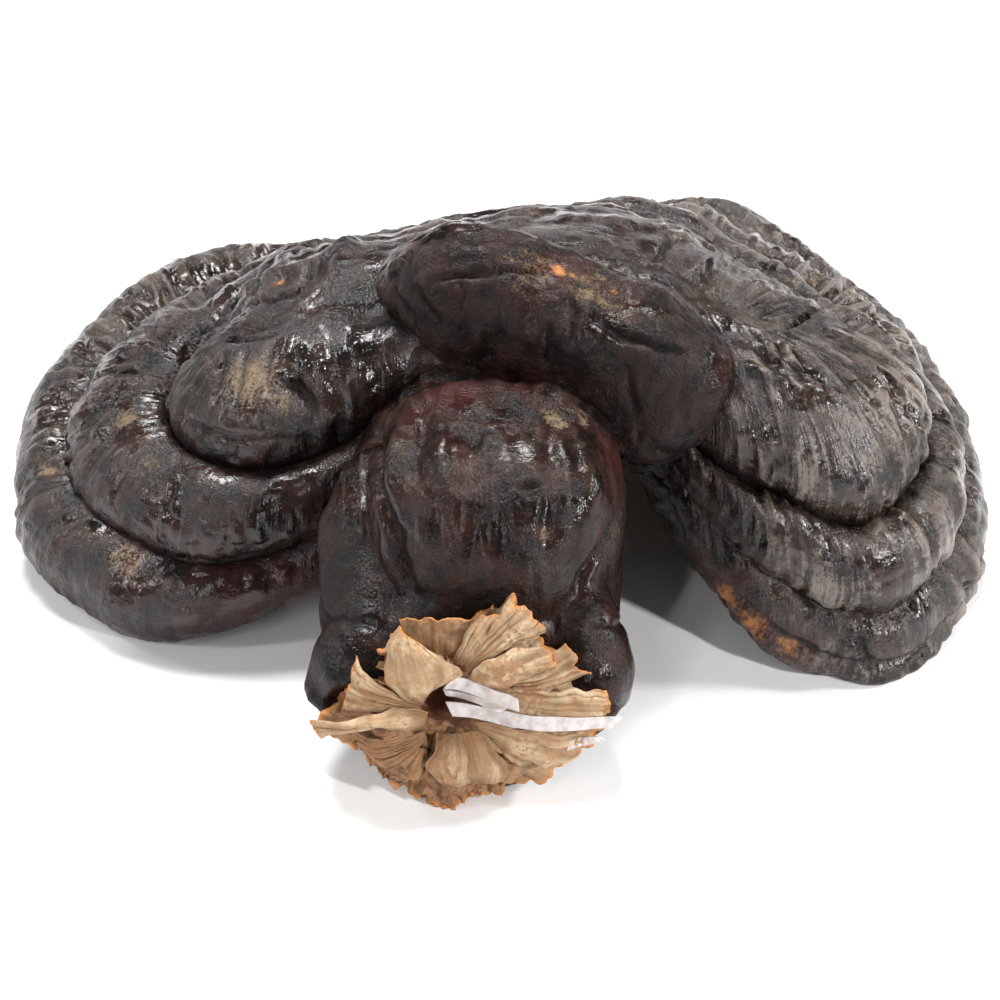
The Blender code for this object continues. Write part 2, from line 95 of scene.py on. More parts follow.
def unit(vectors):
    return vectors / np.linalg.norm(vectors, axis=-1)[..., None]


noise = {
    "order": np.random.default_rng(7).permutation(256),
    "slopes": unit(np.random.default_rng(8).normal(size=(256, 3))),
    "seedStep": 17.31,
}


def softNoise(points, size, seed):
    # Perlin noise, about -0.7 to 0.7, with lumps of the size given (one number, or one per axis)
    at = np.asarray(points) / np.asarray(size, float) + seed * noise["seedStep"]
    base = np.floor(at).astype(int)
    part = at - base
    fade = part**3 * (part * (part * 6 - 15) + 10)
    total = 0.0
    for corner in itertools.product((0, 1), repeat=3):
        cell = base + corner
        index = 0
        for k in range(3):
            index = noise["order"][(index + cell[..., k]) & 255]
        weight = np.prod(np.where(np.array(corner) == 1, fade, 1 - fade), axis=-1)
        total = total + weight * np.sum(noise["slopes"][index] * (part - corner), axis=-1)
    return total


def creased(points, size, seed, level):
    # rounded folds with narrow valleys between them, about 1 on the folds and 0 in the valleys, less
    # the level
    return np.clip(np.abs(softNoise(points, size, seed)) * 3, 0, 1.4) ** 0.7 - level


def ridged(points, size, seed, level):
    # sharp ridges with wide valleys between them, less the level
    return np.clip(1 - 3.2 * np.abs(softNoise(points, size, seed)), 0, 1) - level


def foldsOn(points, listed):
    # the height of folds listed as (kind, height, size, seed, level)
    return sum(height * kind(points, size, seed, level) for kind, height, size, seed, level in listed)


def lumpsOn(points, listed):
    # the height of lumps listed as (height, size, seed)
    return sum(height * softNoise(points, size, seed) for height, size, seed in listed)


def spots(points, places):
    # soft round patches listed as (x, y, z, radius, strength)
    total = np.zeros(len(points))
    for x, y, z, radius, strength in places:
        d = np.linalg.norm(points - (x, y, z), axis=1)
        total = np.maximum(total, strength * bell(d, 0, radius))
    return total


# Meshes

# points nearer than this are merged, and faces thinner than this are dissolved
seams = {"merge": 0.004, "sliver": 0.002}


def pick(*pieces):
    # selects these pieces and no others, the first one active
    bpy.ops.object.select_all(action="DESELECT")
    for piece in pieces:
        piece.select_set(True)
    bpy.context.view_layer.objects.active = pieces[0]


def finishWith(piece, kind, **settings):
    modifier = piece.modifiers.new(kind.lower(), kind)
    for key, value in settings.items():
        setattr(modifier, key, value)
    bpy.ops.object.modifier_apply(modifier=modifier.name)


def rename(piece, name):
    piece.name = name
    piece.data.name = name


def layGrid(name, rings):
    # a grid primitive whose points are laid on the rings
    bpy.ops.object.select_all(action="DESELECT")
    rows, columns = rings.shape[:2]
    bpy.ops.mesh.primitive_grid_add(x_subdivisions=columns - 1, y_subdivisions=rows - 1, size=1)
    piece = bpy.context.object
    rename(piece, name)
    piece.data.vertices.foreach_set("co", ((rings + place) * mm).astype(np.float32).ravel())
    return piece


def addMarks(piece, name, values):
    # a value or vector kept on each point, for the materials
    values = np.asarray(values, np.float32)
    vector = values.size == 3 * len(piece.data.vertices)
    kind, field = ("FLOAT_VECTOR", "vector") if vector else ("FLOAT", "value")
    held = piece.data.attributes.get(name) or piece.data.attributes.new(name, kind, "POINT")
    held.data.foreach_set(field, values.ravel())


def readMarks(piece, name):
    # zeros where the piece has no such marks
    held = piece.data.attributes.get(name)
    wide = 3 if held and held.data_type == "FLOAT_VECTOR" else 1
    values = np.zeros(len(piece.data.vertices) * wide, np.float32)
    if held:
        held.data.foreach_get("vector" if wide == 3 else "value", values)
    return values.reshape(-1, 3) if wide == 3 else values


def sew(piece):
    # merges the seams and turns every face outwards
    pick(piece)
    bpy.ops.object.mode_set(mode="EDIT")
    bpy.ops.mesh.select_all(action="SELECT")
    bpy.ops.mesh.remove_doubles(threshold=seams["merge"] * mm)
    bpy.ops.mesh.dissolve_degenerate(threshold=seams["sliver"] * mm)
    bpy.ops.mesh.normals_make_consistent(inside=False)
    bpy.ops.object.mode_set(mode="OBJECT")
    bpy.ops.object.shade_smooth()


def pointsOf(piece):
    points = np.zeros(len(piece.data.vertices) * 3, np.float32)
    piece.data.vertices.foreach_get("co", points)
    return points.reshape(-1, 3).astype(float) / mm - place


def normalsOf(piece):
    normals = np.zeros(len(piece.data.vertices) * 3, np.float32)
    piece.data.vertex_normals.foreach_get("vector", normals)
    return normals.reshape(-1, 3)


def setPoints(piece, points):
    # nothing goes below the floor
    points = (points + place) * mm
    points[:, 2] = np.maximum(points[:, 2], 0)
    piece.data.vertices.foreach_set("co", points.astype(np.float32).ravel())
    piece.data.update()


def push(piece, amount):
    # moves each point out along its normal by so many millimetres
    setPoints(piece, pointsOf(piece) + normalsOf(piece) * np.asarray(amount)[:, None])


def wrinkle(piece, values, more=0.0):
    # swells and folds the skin, and keeps the height of the folds for the materials
    points = pointsOf(piece)
    folds = foldsOn(points, values["folds"]) + more
    push(piece, values.get("outset", 0.0) + lumpsOn(points, values["swellings"]) + folds)
    addMarks(piece, "relief", folds)


def lengthsAlong(line):
    return np.concatenate([[0], np.cumsum(np.linalg.norm(np.diff(line, axis=0), axis=1))])


def nearLine(points, line):
    # distance of each point from a line of straight runs, and how far along it is, 0 to 1
    best = np.full(len(points), np.inf)
    share = np.zeros(len(points))
    ends = lengthsAlong(line)
    for a, b, start, end in zip(line[:-1], line[1:], ends[:-1], ends[1:]):
        t = np.clip((points - a) @ (b - a) / max((end - start) ** 2, 1e-9), 0, 1)
        d = np.linalg.norm(points - (a + t[:, None] * (b - a)), axis=1)
        closer = d < best
        best[closer] = d[closer]
        share[closer] = ((start + t * (end - start)) / ends[-1])[closer]
    return best, share


creases = {
    "step": 1.5,        # millimetres between the points where a crease is laid on the skin
    "wander": 0.8,      # how far it strays from them
    "wanderSize": 5.0,
    # narrow creases get painted shade, a band darkWidth times as wide as the crease
    "darkUnder": 1.7,   # creases narrower than this are darkened
    "darkWidth": 0.6,
}


def scoreLines(piece, lines, strength):
    # cuts the creases listed as (depth, width, points); a negative depth raises a ridge
    points = pointsOf(piece)
    tree = KDTree(len(points))
    for k, point in enumerate(points):
        tree.insert(point, k)
    tree.balance()
    wobble = np.stack([softNoise(points, creases["wanderSize"], seed) for seed in (51, 52, 53)], -1)
    total = np.zeros(len(points))
    deep = readMarks(piece, "deep")
    for depth, width, line in lines:
        depth = depth * strength
        line = np.asarray(line, float)
        lengths = lengthsAlong(line)
        count = 2 + int(lengths[-1] / creases["step"])
        at = np.interp(np.linspace(0, lengths[-1], count), lengths, np.arange(len(line)))
        drawn = np.array([tree.find(point)[0] for point in curveThrough(line, at)])
        reach = 4 * width + 2
        near = np.all((points > drawn.min(0) - reach) & (points < drawn.max(0) + reach), axis=1)
        d, share = nearLine(points[near] + creases["wander"] * wobble[near], drawn)
        fade = np.clip(5 * share, 0.1, 1) * np.clip(5 * (1 - share), 0.1, 1)
        total[near] -= depth * fade * bell(d, 0, width)
        # painted shade: the floor of each narrow cut crease is darkened through the deep mark
        if depth > 0 and width < creases["darkUnder"]:
            dark = min(depth, 1) * fade * bell(d, 0, creases["darkWidth"] * width)
            deep[near] = np.maximum(deep[near], dark)
    push(piece, total)
    addMarks(piece, "deep", deep)


# Cap

cap = {
    # columns of each piece round the cap, and rows of what shows of it
    "columns": {"inner_tier": 620, "middle_roll": 760, "margin_roll": 770, "underside": 300},
    "rows": {"inner_tier": 110, "middle_roll": 84, "margin_roll": 96, "tuck": 12, "underside": 60},
    # how wrinkled the skin is, and how gathered the margin roll's inner side is, by station
    "wrinkled": (
        1, 0.9, 0.8, 0.7, 0.6, 0.6, 0.7, 0.8, 0.9, 1.1, 1.2, 1.2, 1.1, 0.9, 0.8, 0.5, 0.4, 0.35, 0.35, 0.8,
    ),
    "gathered": (
        1, 1, 1, 1, 0.8, 0.5, 0.5, 0.7, 0.8, 0.9, 0.9, 0.7, 0.4, 0.3, 0.2, 0, 0, 0.1, 0.2, 0.7,
    ),
    "rollOut": 5.5,
    "rollDrop": 8.4,
    "footTuck": 1.0,
    "footWave": 0.35,
    "lipInset": 13.0,
    "lipRise": 6.0,
    "lipBulge": 1.4,
    "underRise": 21.0,
    "leastFlesh": 18.0,
    "grooveSoft": 0.12,
    "grooveWave": (0.6, 0.9),
    # how much shallower the inner groove is along the right lobe's front, and where on the way round
    "grooveRaise": 2.8,
    "raiseTurns": ((0.48, 0.55), (0.68, 0.74)),
    "middleBulge": 6.8,
    "middleSkew": 1.25,
    "rollWave": 0.5,
    # where the middle roll is doubled, how much less it bulges there and how deep its dent is
    "doubleTurns": ((0.06, 0.14), (0.40, 0.52)),
    "doubleLess": 2.4,
    "doubleDent": 0.8,
    "domeEdge": 0.72,
    # steepness at the sides, how much steeper it is in front, and its limits
    "domeSteep": (0.62, 0.4, 0.25, 1.0),
    "domeBend": 0.03,
    "domeOverhang": 2.0,
    "tierGrooves": (0.36, 0.58, 0.80),
    "tierDepths": (0.4, 0.8, 1.4),
    "tierSpread": 0.055,
    # x, y, z, radius and depth of hollows in the inner tier
    "dents": (
        (-25, 27, 58, 6.5, 4.5), (-22, 33, 59, 6, 4), (-31, 20, 53, 5, 2), (-33, 8, 45, 5, 0.8),
        (42, 26, 60, 7, 1.5),
    ),
    # margin line x, y, z, then share out and height of groove A, share out and height of groove B
    "stations": (
        (-97.5, 45.5, 7.5, 0.81, 21, 0.36, 33), (-91, 69, 7.5, 0.79, 23, 0.37, 35),
        (-77, 87, 9.6, 0.77, 26, 0.38, 39), (-56.5, 99.5, 15, 0.85, 25, 0.52, 43),
        (-27, 98, 14, 0.84, 26, 0.54, 49), (2, 99, 13, 0.84, 27, 0.56, 52.5),
        (30, 111, 18, 0.90, 29, 0.53, 50), (53.5, 109.5, 20, 0.87, 31, 0.46, 47),
        (75.5, 90.5, 11.5, 0.87, 28, 0.42, 43), (89.5, 67, 7.4, 0.84, 26, 0.47, 40),
        (95.5, 41.5, 7.4, 0.90, 22, 0.62, 35), (93.5, 11.5, 7.5, 0.93, 18, 0.80, 29),
        (76.5, -15, 7.0, 0.98, 14, 0.82, 26), (55, -12.5, 11, 0.98, 20, 0.80, 32),
        (38.5, 0, 22.5, 1.00, 31, 0.90, 39), (22, 14, 41, 0.96, 46, 0.80, 49),
        (-14, 14, 26, 0.96, 34, 0.80, 46), (-38, -2.5, 16.5, 0.96, 22, 0.74, 35),
        (-65.5, -7.5, 7.8, 0.90, 19, 0.59, 33), (-91.5, 12.5, 7.6, 0.87, 20, 0.43, 32.5),
    ),
    # the line that the rolls grew out from, left to right
    "spine": (
        (-48, 28, 50), (-47.5, 28, 50.5), (-45, 27, 53), (-36, 28, 57), (-20, 31, 62), (2, 34, 65),
        (25, 33, 64), (39, 30, 61), (47, 28, 57), (51.5, 29, 54), (52.5, 30, 53),
    ),
}


def capLines(name):
    # the lines round the cap that the sections of its rolls are drawn between
    columns = cap["columns"][name]
    turn = np.linspace(0, 1, columns + 1)
    stations = len(cap["stations"])
    station = curveLoop(cap["stations"], turn * stations)
    spine = curveThrough(cap["spine"], np.minimum(turn, 1 - turn) * stations)
    out = station[:, :2] - spine[:, :2]
    reach = np.linalg.norm(out, axis=1)
    wave = ripples(turn, 6, 26, 6, 3)
    innerWave = ripples(turn, 4, 17, 5, 8)
    waveA, waveB = cap["grooveWave"]
    lowZ = station[:, 2] - cap["rollDrop"]
    raised = cap["grooveRaise"] * between(turn, *cap["raiseTurns"])
    length = lengthsAlong(station[:, :2])
    angle = 2 * math.pi * length / length[-1]
    radius = length[-1] / (2 * math.pi)
    return SimpleNamespace(
        turn=turn, spine=spine, out=unit(out), reach=reach, wave=wave,
        ring=radius * np.stack([np.cos(angle), np.sin(angle)], -1),
        grooveA=np.stack([reach * station[:, 3] + waveA * wave, station[:, 4]], -1),
        grooveB=np.stack([reach * station[:, 5] + waveB * innerWave, station[:, 6] + raised], -1),
        foot=np.stack([reach - cap["footTuck"], lowZ + cap["footWave"] * wave], -1),
        lip=np.stack([reach - cap["lipInset"] * np.clip(reach / 45, 0.45, 1), lowZ + cap["lipRise"]], -1),
        baseZ=np.minimum(cap["underRise"], spine[:, 2] - cap["leastFlesh"]),
        double=between(turn, *cap["doubleTurns"]),
    )


def rollSection(start, end, bulge, rows, dent=0.0, skew=1.0):
    # one roll of a section from start to end, bulging outwards between tight grooves
    soft = cap["grooveSoft"]
    angle = np.linspace(soft, math.pi - soft, rows + 1)
    along = (math.cos(soft) - np.cos(angle)) / (2 * math.cos(soft))
    height = (np.sin(angle) - math.sin(soft)) / (1 - math.sin(soft))
    chord = end - start
    outward = unit(np.stack([-chord[:, 1], chord[:, 0]], -1))
    height = height[:, None] * (1 - dent * bell(along, 0.5, 0.16)[:, None])
    points = start[None] + chord[None] * (along**skew)[:, None, None]
    return points + outward[None] * (bulge[None] * height)[..., None]


def carryOn(section, *corners):
    # carries a section on from its last row in straight runs, each to a corner in so many steps
    for corner, steps in corners:
        start = section[-1]
        run = start[None] + (corner - start)[None] * np.linspace(0, 1, steps + 1)[1:, None, None]
        section = np.concatenate([section, run])
    return section


def beside(line, out, up):
    return line + np.array([out, up], float)


def sweepCap(name, lines, section):
    # lays the section out from the spine all round; "grain" runs in millimetres round and out
    shape = section.shape[:2]
    plan = lines.spine[None, :, :2] + lines.out[None] * section[..., :1]
    piece = layGrid(name, np.concatenate([plan, section[..., 1:]], -1))
    steps = np.linalg.norm(np.diff(section, axis=0), axis=2)
    outLength = np.concatenate([np.zeros((1, shape[1])), np.cumsum(steps, axis=0)])
    ring = np.broadcast_to(lines.ring[None], (*shape, 2))
    addMarks(piece, "grain", np.concatenate([ring, outLength[..., None]], -1))
    addMarks(piece, "share", np.broadcast_to(np.linspace(0, 1, shape[0])[:, None], shape))
    addMarks(piece, "turn", np.broadcast_to(lines.turn[None], shape))
    sew(piece)
    return piece


def domeSection(lines):
    # the inner tier from the spine out and down to its groove
    share = np.linspace(0, 1, cap["rows"]["inner_tier"] + 1)[:, None]
    sideSteep, frontSteep, least, most = cap["domeSteep"]
    steep = np.clip(sideSteep - frontSteep * lines.out[:, 1], least, most)[None]
    grooveR, grooveZ = lines.grooveB.T
    bend = cap["domeBend"] * ripples(lines.turn, 3, 12, 5, 12)[None]
    groove = sum(depth * bell(share - bend, centre, cap["tierSpread"])
                 for centre, depth in zip(cap["tierGrooves"], cap["tierDepths"]))
    wide = np.sin(share * math.pi / 2) ** cap["domeEdge"]
    tall = np.cos(share * math.pi / 2) ** cap["domeEdge"]
    domeR = grooveR * (steep * wide + (1 - steep) * share)
    domeR = domeR + cap["domeOverhang"] * steep * np.sin(math.pi * share**4)
    domeZ = grooveZ + (lines.spine[:, 2] - grooveZ) * (steep * tall + (1 - steep) * (1 - share**1.6))
    left = ease(-lines.out[:, 0], -0.6, 0.5)
    domeZ = domeZ - groove * np.clip(0.75 + 0.6 * lines.out[:, 1], 0.25, 1) * (0.35 + 0.65 * left)
    return np.stack([domeR, domeZ], -1)


def buildDome():
    lines = capLines("inner_tier")
    # closed behind, inside the cap
    below = beside(lines.grooveB, -1.2, -2.6)
    deep = np.stack([lines.grooveB[:, 0] * 0.5, lines.grooveB[:, 1] - 6], -1)
    middle = np.stack([np.zeros(len(lines.turn)), lines.spine[:, 2] - 14], -1)
    return sweepCap("inner_tier", lines, carryOn(domeSection(lines), (below, 4), (deep, 4), (middle, 4)))


def buildMiddleRoll():
    lines = capLines("middle_roll")
    start, end = beside(lines.grooveB, -0.9, -0.2), beside(lines.grooveA, 0.3, -0.3)
    endDeep, startDeep = beside(lines.grooveA, -1.5, -4.0), beside(lines.grooveB, -1.8, -5.0)
    bulge = cap["middleBulge"] - cap["doubleLess"] * lines.double + cap["rollWave"] * lines.wave
    dent = cap["doubleDent"] * lines.double
    top = rollSection(start, end, bulge, cap["rows"]["middle_roll"], dent, cap["middleSkew"])
    return sweepCap("middle_roll", lines, carryOn(top, (endDeep, 4), (startDeep, 8), (start, 4)))


def buildMargin():
    lines = capLines("margin_roll")
    start, foot = beside(lines.grooveA, -0.8, 0.0), lines.foot
    inside, startDeep = beside(lines.lip, 0.4, 5.0), beside(lines.grooveA, -2.6, -4.5)
    lean = (lines.grooveA[:, 1] - foot[:, 1]) / np.linalg.norm(foot - lines.grooveA, axis=1)
    bulge = (lines.reach + cap["rollOut"] - (lines.grooveA[:, 0] + foot[:, 0]) / 2) / np.maximum(lean, 0.6)
    outer = rollSection(start, foot, bulge, cap["rows"]["margin_roll"])
    tuck = rollSection(foot, lines.lip, np.full(len(lines.turn), cap["lipBulge"]), cap["rows"]["tuck"])
    section = carryOn(np.concatenate([outer, tuck[1:]]), (inside, 3), (startDeep, 6), (start, 4))
    return sweepCap("margin_roll", lines, section)


def buildUnderside():
    lines = capLines("underside")
    share = np.linspace(0, 1, cap["rows"]["underside"])[:, None]
    outer = beside(lines.lip, 0.8, 0.4)
    underR = outer[:, 0] * (1 - share)
    underZ = outer[:, 1] + (lines.baseZ - outer[:, 1]) * np.sin(share * math.pi / 2)
    under = np.stack([underR, underZ], -1)
    return sweepCap("underside", lines, np.concatenate([under[::-1], beside(under[::6], 0, 5)]))


wrinkles = {
    # for each roll: share of its section that shows, depth of its pinches, height of its soft lumps,
    # how far apart its folds are, and their strength at its inner edge, crown, outer face and foot
    "inner_tier": (111 / 123, 0.2, 1.8, 1.4, (0.50, 0.80, 1.10, 1.10)),
    "middle_roll": (85 / 101, 0.3, 1.5, 1.0, (0.90, 0.65, 1.35, 1.40)),
    "margin_roll": (109 / 122, 1.8, 1.3, 1.0, (1.20, 0.70, 1.00, 1.40)),
    # folds out across the roll, growth lines along it, pinches and where on the section they are
    "folds": (
        (creased, 0.9, (5.2, 5.2, 24), 5, 0.65), (ridged, 0.75, (4.0, 4.0, 18), 6, 0.25),
        (ridged, 0.42, (2.3, 2.3, 13), 11, 0.3),
    ),
    "bands": ((creased, 0.16, (60, 60, 6.5), 7, 0.6),),
    "pinches": ((creased, 1.0, (3.4, 3.4, 12), 8, 0.55),),
    "pinchPlace": (0.16, 0.12),
    # sizes and seeds of the drift that bends them, then lumps and crinkles that have no grain
    "drift": ((14, 1), (14, 2), (9, 3)),
    "lumps": ((1.0, 19, 9), (0.45, 9, 10)),
    "crinkles": ((creased, 1.0, 4.5, 13, 0.6),),
    # how striped the bloom is, from the inner edge to the foot
    "striped": (0.35, 0.35, 1, 1),
}


def roughenCap(piece):
    # folds that run out across the roll, growth lines along it, and soft lumps
    visible, gather, lumps, spread, strength = wrinkles[piece.name]
    grain, share, turn = (readMarks(piece, n) for n in ("grain", "share", "turn"))
    points = pointsOf(piece)
    shown = share / visible
    inside = between(shown, (0.0, 0.10), (0.95, 1.0))
    listed = np.stack([cap["wrinkled"], cap["gathered"]], -1)
    wrinkled, gathered = curveLoop(listed, turn * len(cap["stations"])).T
    drift = np.stack([softNoise(points, size, seed) for size, seed in wrinkles["drift"]], -1)
    warped = (grain + drift * (4, 4, 7)) / (spread, spread, 1)
    patch = np.clip(0.75 + 1.6 * softNoise(points, 21, 4), 0.25, 1.6)
    folds, bands, pinches = (foldsOn(warped, wrinkles[n]) for n in ("folds", "bands", "pinches"))
    amount = np.interp(shown, (0, 0.3, 0.65, 1), strength) * folds * wrinkled * patch
    amount += gather * pinches * bell(shown, *wrinkles["pinchPlace"]) * gathered
    # these do not run along the grain, so they go on over the spine
    loose = lumps * lumpsOn(points, wrinkles["lumps"])
    loose += (0.24 + 0.25 * (1 - inside) * (shown < 0.5)) * foldsOn(points, wrinkles["crinkles"]) * patch
    push(piece, (amount + bands) * inside + loose * (1 - ease(shown, 0.95, 1.0)))
    addMarks(piece, "relief", amount * inside)
    striped = np.interp(shown, (0, 0.3, 0.6, 1), wrinkles["striped"])
    addMarks(piece, "striped", np.clip(wrinkled, 0.75, 1) * striped)
    # painted shade in the grooves at the roll's edges, through the deep mark, less on the right lobe
    crease = bell(shown, 1, 0.05)
    if piece.name != "inner_tier":
        crease += bell(shown, 0, 0.06)
    addMarks(piece, "deep", crease * (1 - 0.55 * ease(points[:, 0], 35, 60)))


hem = {
    # share of the margin roll's section down to its foot, and where the hem is on the way round
    "share": 0.89,
    "turns": ((0.51, 0.57), (0.66, 0.70)),
    # its lip on the way down, the size of its flutes, and the groove above it
    "lip": ((0.54, 0.66), (0.84, 0.97)),
    "height": 2.4,
    "flute": 3.1,
    "score": (0.52, 0.03),
    "scoreDepth": 0.9,
}


def hemMargin(piece):
    # the thin fluted edge under the right lobe's front
    grain, share, turn = (readMarks(piece, n) for n in ("grain", "share", "turn"))
    along = np.linalg.norm(grain[:, :2] - grain[0, :2], axis=1)
    here = between(turn, *hem["turns"])
    shown = share / hem["share"]
    flute = 0.5 + 1.5 * softNoise(along[:, None] * (1, 0, 0), hem["flute"], 14)
    score = bell(shown, *hem["score"])
    push(piece, here * (hem["height"] * between(shown, *hem["lip"]) * flute - hem["scoreDepth"] * score))
    # painted shade in the groove above the hem
    addMarks(piece, "deep", np.maximum(readMarks(piece, "deep"), 0.7 * here * score))


skinMarks = {
    # x, y, z, radius and strength of each patch
    "dust": (
        (-49, 12, 50, 8, 1.0), (-44, 8, 48, 5, 0.7), (-76, 22, 34, 4.5, 0.9), (-72, 15, 34.5, 3, 0.7),
        (-69, 8, 33.5, 3, 0.8), (-94, 24, 20, 5, 0.8), (-90, 30, 24, 5, 0.4), (-74, -4, 18, 7, 0.8),
        (-83, 4, 18, 4, 0.5), (-51, 74, 42, 9, 0.6), (-60, 58, 38, 7, 0.5), (-34, 45, 56, 7, 0.35),
        (30, 52, 59, 10, 0.45), (20, 55, 60, 10, 0.45), (44, 50, 56, 9, 0.4), (57, 46, 50, 7, 0.55),
        (66, 52, 43, 5, 0.5), (79, 45, 37, 5, 0.55), (84, 20, 40, 5, 0.6), (85, 5, 36, 5, 0.5),
        (75, 62, 36, 5, 0.4), (47, -2, 27, 3, 0.6), (64, -6, 30, 4, 0.35), (-88, 57, 22, 8, 0.35),
        (-77, 76, 27, 8, 0.3), (10, -9, 56, 4.5, 0.9), (15, -6, 55, 4, 0.8), (7.5, -33.5, 48, 2.4, 1.0),
        (7.5, -36, 44, 2, 0.9), (-19, -26, 47, 2.5, 0.5), (-31, -16, 40, 3, 0.5), (-30, -26, 33, 4, 0.35),
        (-6, -35, 45, 2.5, 0.4), (17, 15, 71, 9, 0.75), (6, 17, 73, 8, 0.65), (-10, 18, 72, 6, 0.35),
        (25, 8, 69, 8, 0.5), (-14, 15, 68, 6, 0.4), (22, -2, 55, 6, 0.35), (30, 55, 59, 4, 0.5),
        (41, 60, 53, 4, 0.5), (52, 64, 46.5, 4, 0.55), (62, 58.5, 43, 4, 0.5), (71, 50, 41, 4, 0.55),
        (77, 45, 39, 3.5, 0.5), (82, 47, 32, 3.5, 0.6), (86, 41, 30, 3.5, 0.5), (89, 34, 28, 3, 0.5),
        (89.5, 21, 29, 3, 0.6), (91, 17, 24.5, 3, 0.5), (88, 3, 22, 3, 0.5), (43, 71, 49, 4, 0.45),
        (57, 80, 39, 4, 0.45), (68, 72, 36, 4, 0.45), (78, 58, 34.5, 3.5, 0.45), (85.5, 48, 31, 3, 0.5),
        (58, -7, 35, 3, 0.55), (68, -11, 27, 3, 0.45), (53, -15, 17, 3, 0.5),
    ),
    "rust": (
        (-45, 43, 52, 2.6, 1.0), (11, 17.4, 72, 2.6, 1.0), (14, 16.5, 71.5, 1.6, 0.9),
        (6.7, 17, 73, 1.6, 0.8), (22, 13.5, 70.4, 2.6, 0.75), (27, 12, 70, 2.0, 0.5),
        (-31, -43, 26, 1.6, 0.9), (43, -7, 15, 2.0, 0.6), (45, -9, 13, 6, 0.85), (50, -13, 9, 6, 0.9),
        (57, -17, 7, 6, 0.8), (66, -20, 5, 5, 0.65),
    ),
    "red": (
        (-40, -9, 9, 13, 0.9), (-52, -12, 11, 12, 0.8), (-62, -13, 10, 10, 0.5), (41, -4, 19, 5, 0.9),
        (45, -9, 14, 8, 1.0), (50, -13, 9, 8, 1.0), (58, -17, 6, 8, 0.8), (-9, 0, 56, 8, 1.0),
        (-15, -5, 54, 9, 0.7), (2, 4, 54, 10, 0.7), (20, -10, 47, 9, 0.8), (16, -22, 48, 8, 0.6),
        (-8, -24, 54, 12, 0.5), (12, 17, 71, 8, 0.7), (24, 10, 70, 9, 0.5), (-33, -14, 34, 9, 0.5),
        (-75, 30, 34, 8, 0.35), (60, -4, 34, 12, 0.35), (-62, 2, 27, 10, 0.4),
    ),
    "shine": (
        (-66, -3, 28, 9, 0.8), (-56, -6, 28, 9, 1.0), (-46, -5, 27, 9, 1.0), (-38, -3, 24, 8, 0.8),
        (-60, -9, 18, 8, 1.0), (-50, -10, 17, 8, 1.0), (-42, -8, 16, 7, 0.8), (-52, 4, 33, 8, 0.7),
        (-32, 10, 50, 8, 1.2), (-36, 15, 54, 8, 1.4), (-26, 16, 55, 8, 1.4), (-19, -14, 53, 5, 1.0),
        (-12, -16, 55, 5, 1.0), (-18, -25, 49, 5, 0.8), (-11, -26, 52, 5, 0.9), (14, -14, 54, 6, 0.9),
        (17, -24, 49, 6, 1.0), (19, -38, 28, 6, 1.0), (-92, 35, 26, 8, 0.8), (-86, 52, 26, 9, 0.8),
        (-76, 68, 30, 9, 0.9), (-62, 82, 32, 9, 0.9), (-46, 90, 35, 9, 0.8), (-30, 92, 36, 9, 0.7),
        (36, 22, 60, 5, 1.0), (40, 18, 60, 4, 0.9), (48, 6, 58, 6, 1.0), (55, 5, 55, 8, 1.0),
        (56, -6, 44, 9, 1.0), (66, -3, 42, 8, 0.9), (60, -12, 30, 8, 1.0), (80, -8, 24, 8, 0.8),
        (74, 66, 38, 7, 0.7), (72, 5, 50, 8, 0.7), (74, -10, 30, 8, 0.8), (52, -10, 34, 7, 1.0),
        (78, 14, 44, 7, 0.7), (62, 20, 54, 7, 0.6), (84, 48, 36, 7, 0.7), (90, 30, 30, 7, 0.7),
        (10, 60, 58, 9, 0.5), (-20, 50, 58, 9, 0.5),
    ),
    # patches of painted shade: the skirts, the knee top, the brow's front, the pocket beside the brow and low
    # at the front
    "shade": (
        (-31, -28, 30, 15, 0.75), (-30, -40, 22, 13, 0.75), (20, -38, 22, 9, 0.4), (24, -20, 28, 10, 0.4),
        (8, 8, 58, 16, 0.45), (28, 0, 56, 16, 0.6), (40, 2, 50, 9, 0.5), (-8, 12, 60, 12, 0.4),
        (0, 3, 56, 15, 0.45), (-22, 22, 57, 8, 1.0), (-20, 28, 58, 7, 1.0), (-26, 24, 57, 6, 0.8),
        (35, 5, 30, 18, 0.6), (-60, -14, 10, 14, 0.3), (-68, 40, 34, 7, 0.6), (0, -44, 10, 16, 0.5),
        (-28, 16, 55, 9, 0.6),
    ),
    "dull": (
        (-31, -28, 30, 14, 0.5), (-30, -40, 22, 12, 0.5), (22, -34, 24, 10, 0.3), (-8, 9, 62, 9, 0.6),
        (12, 6, 60, 9, 0.6), (24, 0, 56, 12, 0.7), (34, -1, 54, 8, 0.6), (-9, -36, 36, 9, 0.55),
        (0, -37, 37, 9, 0.6), (-40, 8, 46, 8, 0.3), (-13, 16, 68, 10, 0.6), (0, 17, 72, 11, 0.6),
        (14, 14, 70, 10, 0.55), (-14, 14, 60, 9, 0.7), (30, 6, 66, 9, 0.35), (60, 20, 54, 16, 0.35),
        (62, -2, 42, 12, 0.3),
    ),
}

powder = {
    # grey bloom everywhere, and how much more on the right lobe and along the back; partly real bloom, partly
    # painted light that brightens the right lobe
    "least": 0.52,
    "right": 0.95,
    "back": 0.45,
    # how much of it lies on faces that do not look up, and how much more of that on the right lobe
    "open": (0.30, 0.45),
    # how much of it a piece carries, if less than all
    "carried": {"brow": 0.22, "stem": 0.14, "tongue": 0.4},
}


